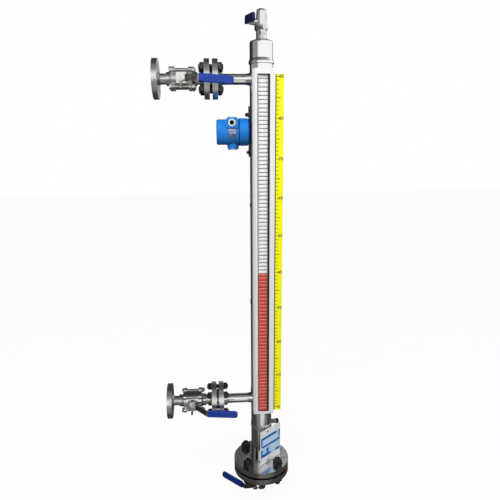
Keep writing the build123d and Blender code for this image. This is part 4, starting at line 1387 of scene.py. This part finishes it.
class GAUGE_OT_welds(bpy.types.Operator):
    """Rippled weld beads"""
    bl_idname = "gauge.welds"
    bl_label = "Welds"

    def bead(self, name, points, scale):
        detail = detail_set()
        path = path_object(name + "_path", points)
        bead_grower().grow(name, ROOT, "chamber_steel", smooth=60.0, Path=path, Radius=detail.bead * scale,
                           Ripple=detail.ripple, Pitch=2.4 * MM, Material=weld_metal())
        bpy.data.objects.remove(path)

    def execute(self, context):
        for line in LINES:
            z = LINE_Z[line]
            self.bead(line + "_foot_weld", saddle_path(z, FOOT_WELD_R), 1.1)
            neck = box("nozzle_pipes")[0].x
            self.bead(line + "_neck_weld", circle_path("X", (neck, 0.0, z), PIPE_R + 0.1 * MM), 0.9)
            stub = box(line + "_end_flange")[0].x + STUB_WELD_X
            self.bead(line + "_stub_weld", circle_path("X", (stub, 0.0, z), PIPE_R + 0.2 * MM), 0.8)
        ring = box("top_reducer")[0].z
        self.bead("ring_weld", circle_path("Z", (AXIS_X, 0.0, ring - 0.3 * MM), TUBE_R + 0.2 * MM), 0.9)
        foot = box("chamber_flange")[1].z
        self.bead("flange_weld", circle_path("Z", (AXIS_X, 0.0, foot), TUBE_R + 0.2 * MM), 1.0)
        return {"FINISHED"}


# Head label and band screws

class GAUGE_OT_head(bpy.types.Operator):
    """Bare label plate on the head, and screw heads on the bands"""
    bl_idname = "gauge.head"
    bl_label = "Head and bands"

    def label(self):
        """Curved plate that follows the head's round front: a lighter upper piece with painted light and a
        darker lower piece with painted shade where it turns down.
        """
        centre = middle("transmitter_left_cover")
        left = middle("cable_gland").x - 8.0 * MM
        right = left + LABEL_WIDTH
        inner = HEAD_R - 0.2 * MM
        outer = HEAD_R + 0.5 * MM
        # painted light on the upper piece and painted shade on the lower one
        for name, start, end, colour in (("head_label_top", -8.0, 15.0, (0.24, 0.23, 0.36)),
                                         ("head_label_foot", -29.0, -8.0, (0.07, 0.11, 0.20))):
            rings = []
            for k in range(9):
                a = math.radians(start + (end - start) * k / 8)
                ring = []
                for x, r in ((left, inner), (right, inner), (right, outer), (left, outer)):
                    ring.append((x, centre.y - r * math.cos(a), centre.z + r * math.sin(a)))
                rings.append(ring)
            Pile().add(*rings_solid(rings)).piece(name, ROOT, "plate_print", mottled_label(name, colour))

    def screws(self):
        """Round screw heads on the band boxes."""
        heads = Pile()
        outline = [(0.0, 0.0), (4.6 * MM, 0.0), (4.6 * MM, 1.6 * MM), (4.0 * MM, 2.8 * MM),
                   (2.6 * MM, 3.5 * MM), (0.0, 3.7 * MM)]
        for low, high in lumps("strap_bands"):
            left = AXIS_X - low.x > high.x - AXIS_X
            x = low.x + SCREW_IN if left else high.x - SCREW_IN
            heads.add(*turned(outline, 24), seat_at((x, SCREW_FRONT, (low.z + high.z) / 2), (0.0, -1.0, 0.0)))
        heads.piece("band_screw_heads", ROOT, "dark_bolting", dark_steel())

    def execute(self, context):
        self.label()
        self.screws()
        return {"FINISHED"}


CLASSES = [GaugeStage, GaugeColours, GaugeDetail, GAUGE_OT_stage, GAUGE_OT_finishes, GAUGE_OT_ruler,
           GAUGE_OT_flaps, GAUGE_OT_fasteners, GAUGE_OT_welds, GAUGE_OT_head]
STEPS = ["stage", "finishes", "ruler", "flaps", "fasteners", "welds", "head"]


class GAUGE_PT_panel(bpy.types.Panel):
    """Lists the steps that dress the gauge"""
    bl_label = "Level gauge"
    bl_idname = "GAUGE_PT_panel"
    bl_space_type = "VIEW_3D"
    bl_region_type = "UI"
    bl_category = "Level gauge"

    def draw(self, context):
        for step in STEPS:
            self.layout.operator("gauge." + step)


def register():
    for cls in CLASSES + [GAUGE_PT_panel]:
        bpy.utils.register_class(cls)
    bpy.types.Scene.gauge_stage = bpy.props.PointerProperty(type=GaugeStage)
    bpy.types.Scene.gauge_colours = bpy.props.PointerProperty(type=GaugeColours)
    bpy.types.Scene.gauge_detail = bpy.props.PointerProperty(type=GaugeDetail)


def unregister():
    del bpy.types.Scene.gauge_detail
    del bpy.types.Scene.gauge_colours
    del bpy.types.Scene.gauge_stage
    for cls in reversed(CLASSES + [GAUGE_PT_panel]):
        bpy.utils.unregister_class(cls)


def main():
    register()
    for step in STEPS:
        getattr(bpy.ops.gauge, step)()


if __name__ == "__main__":
    main()
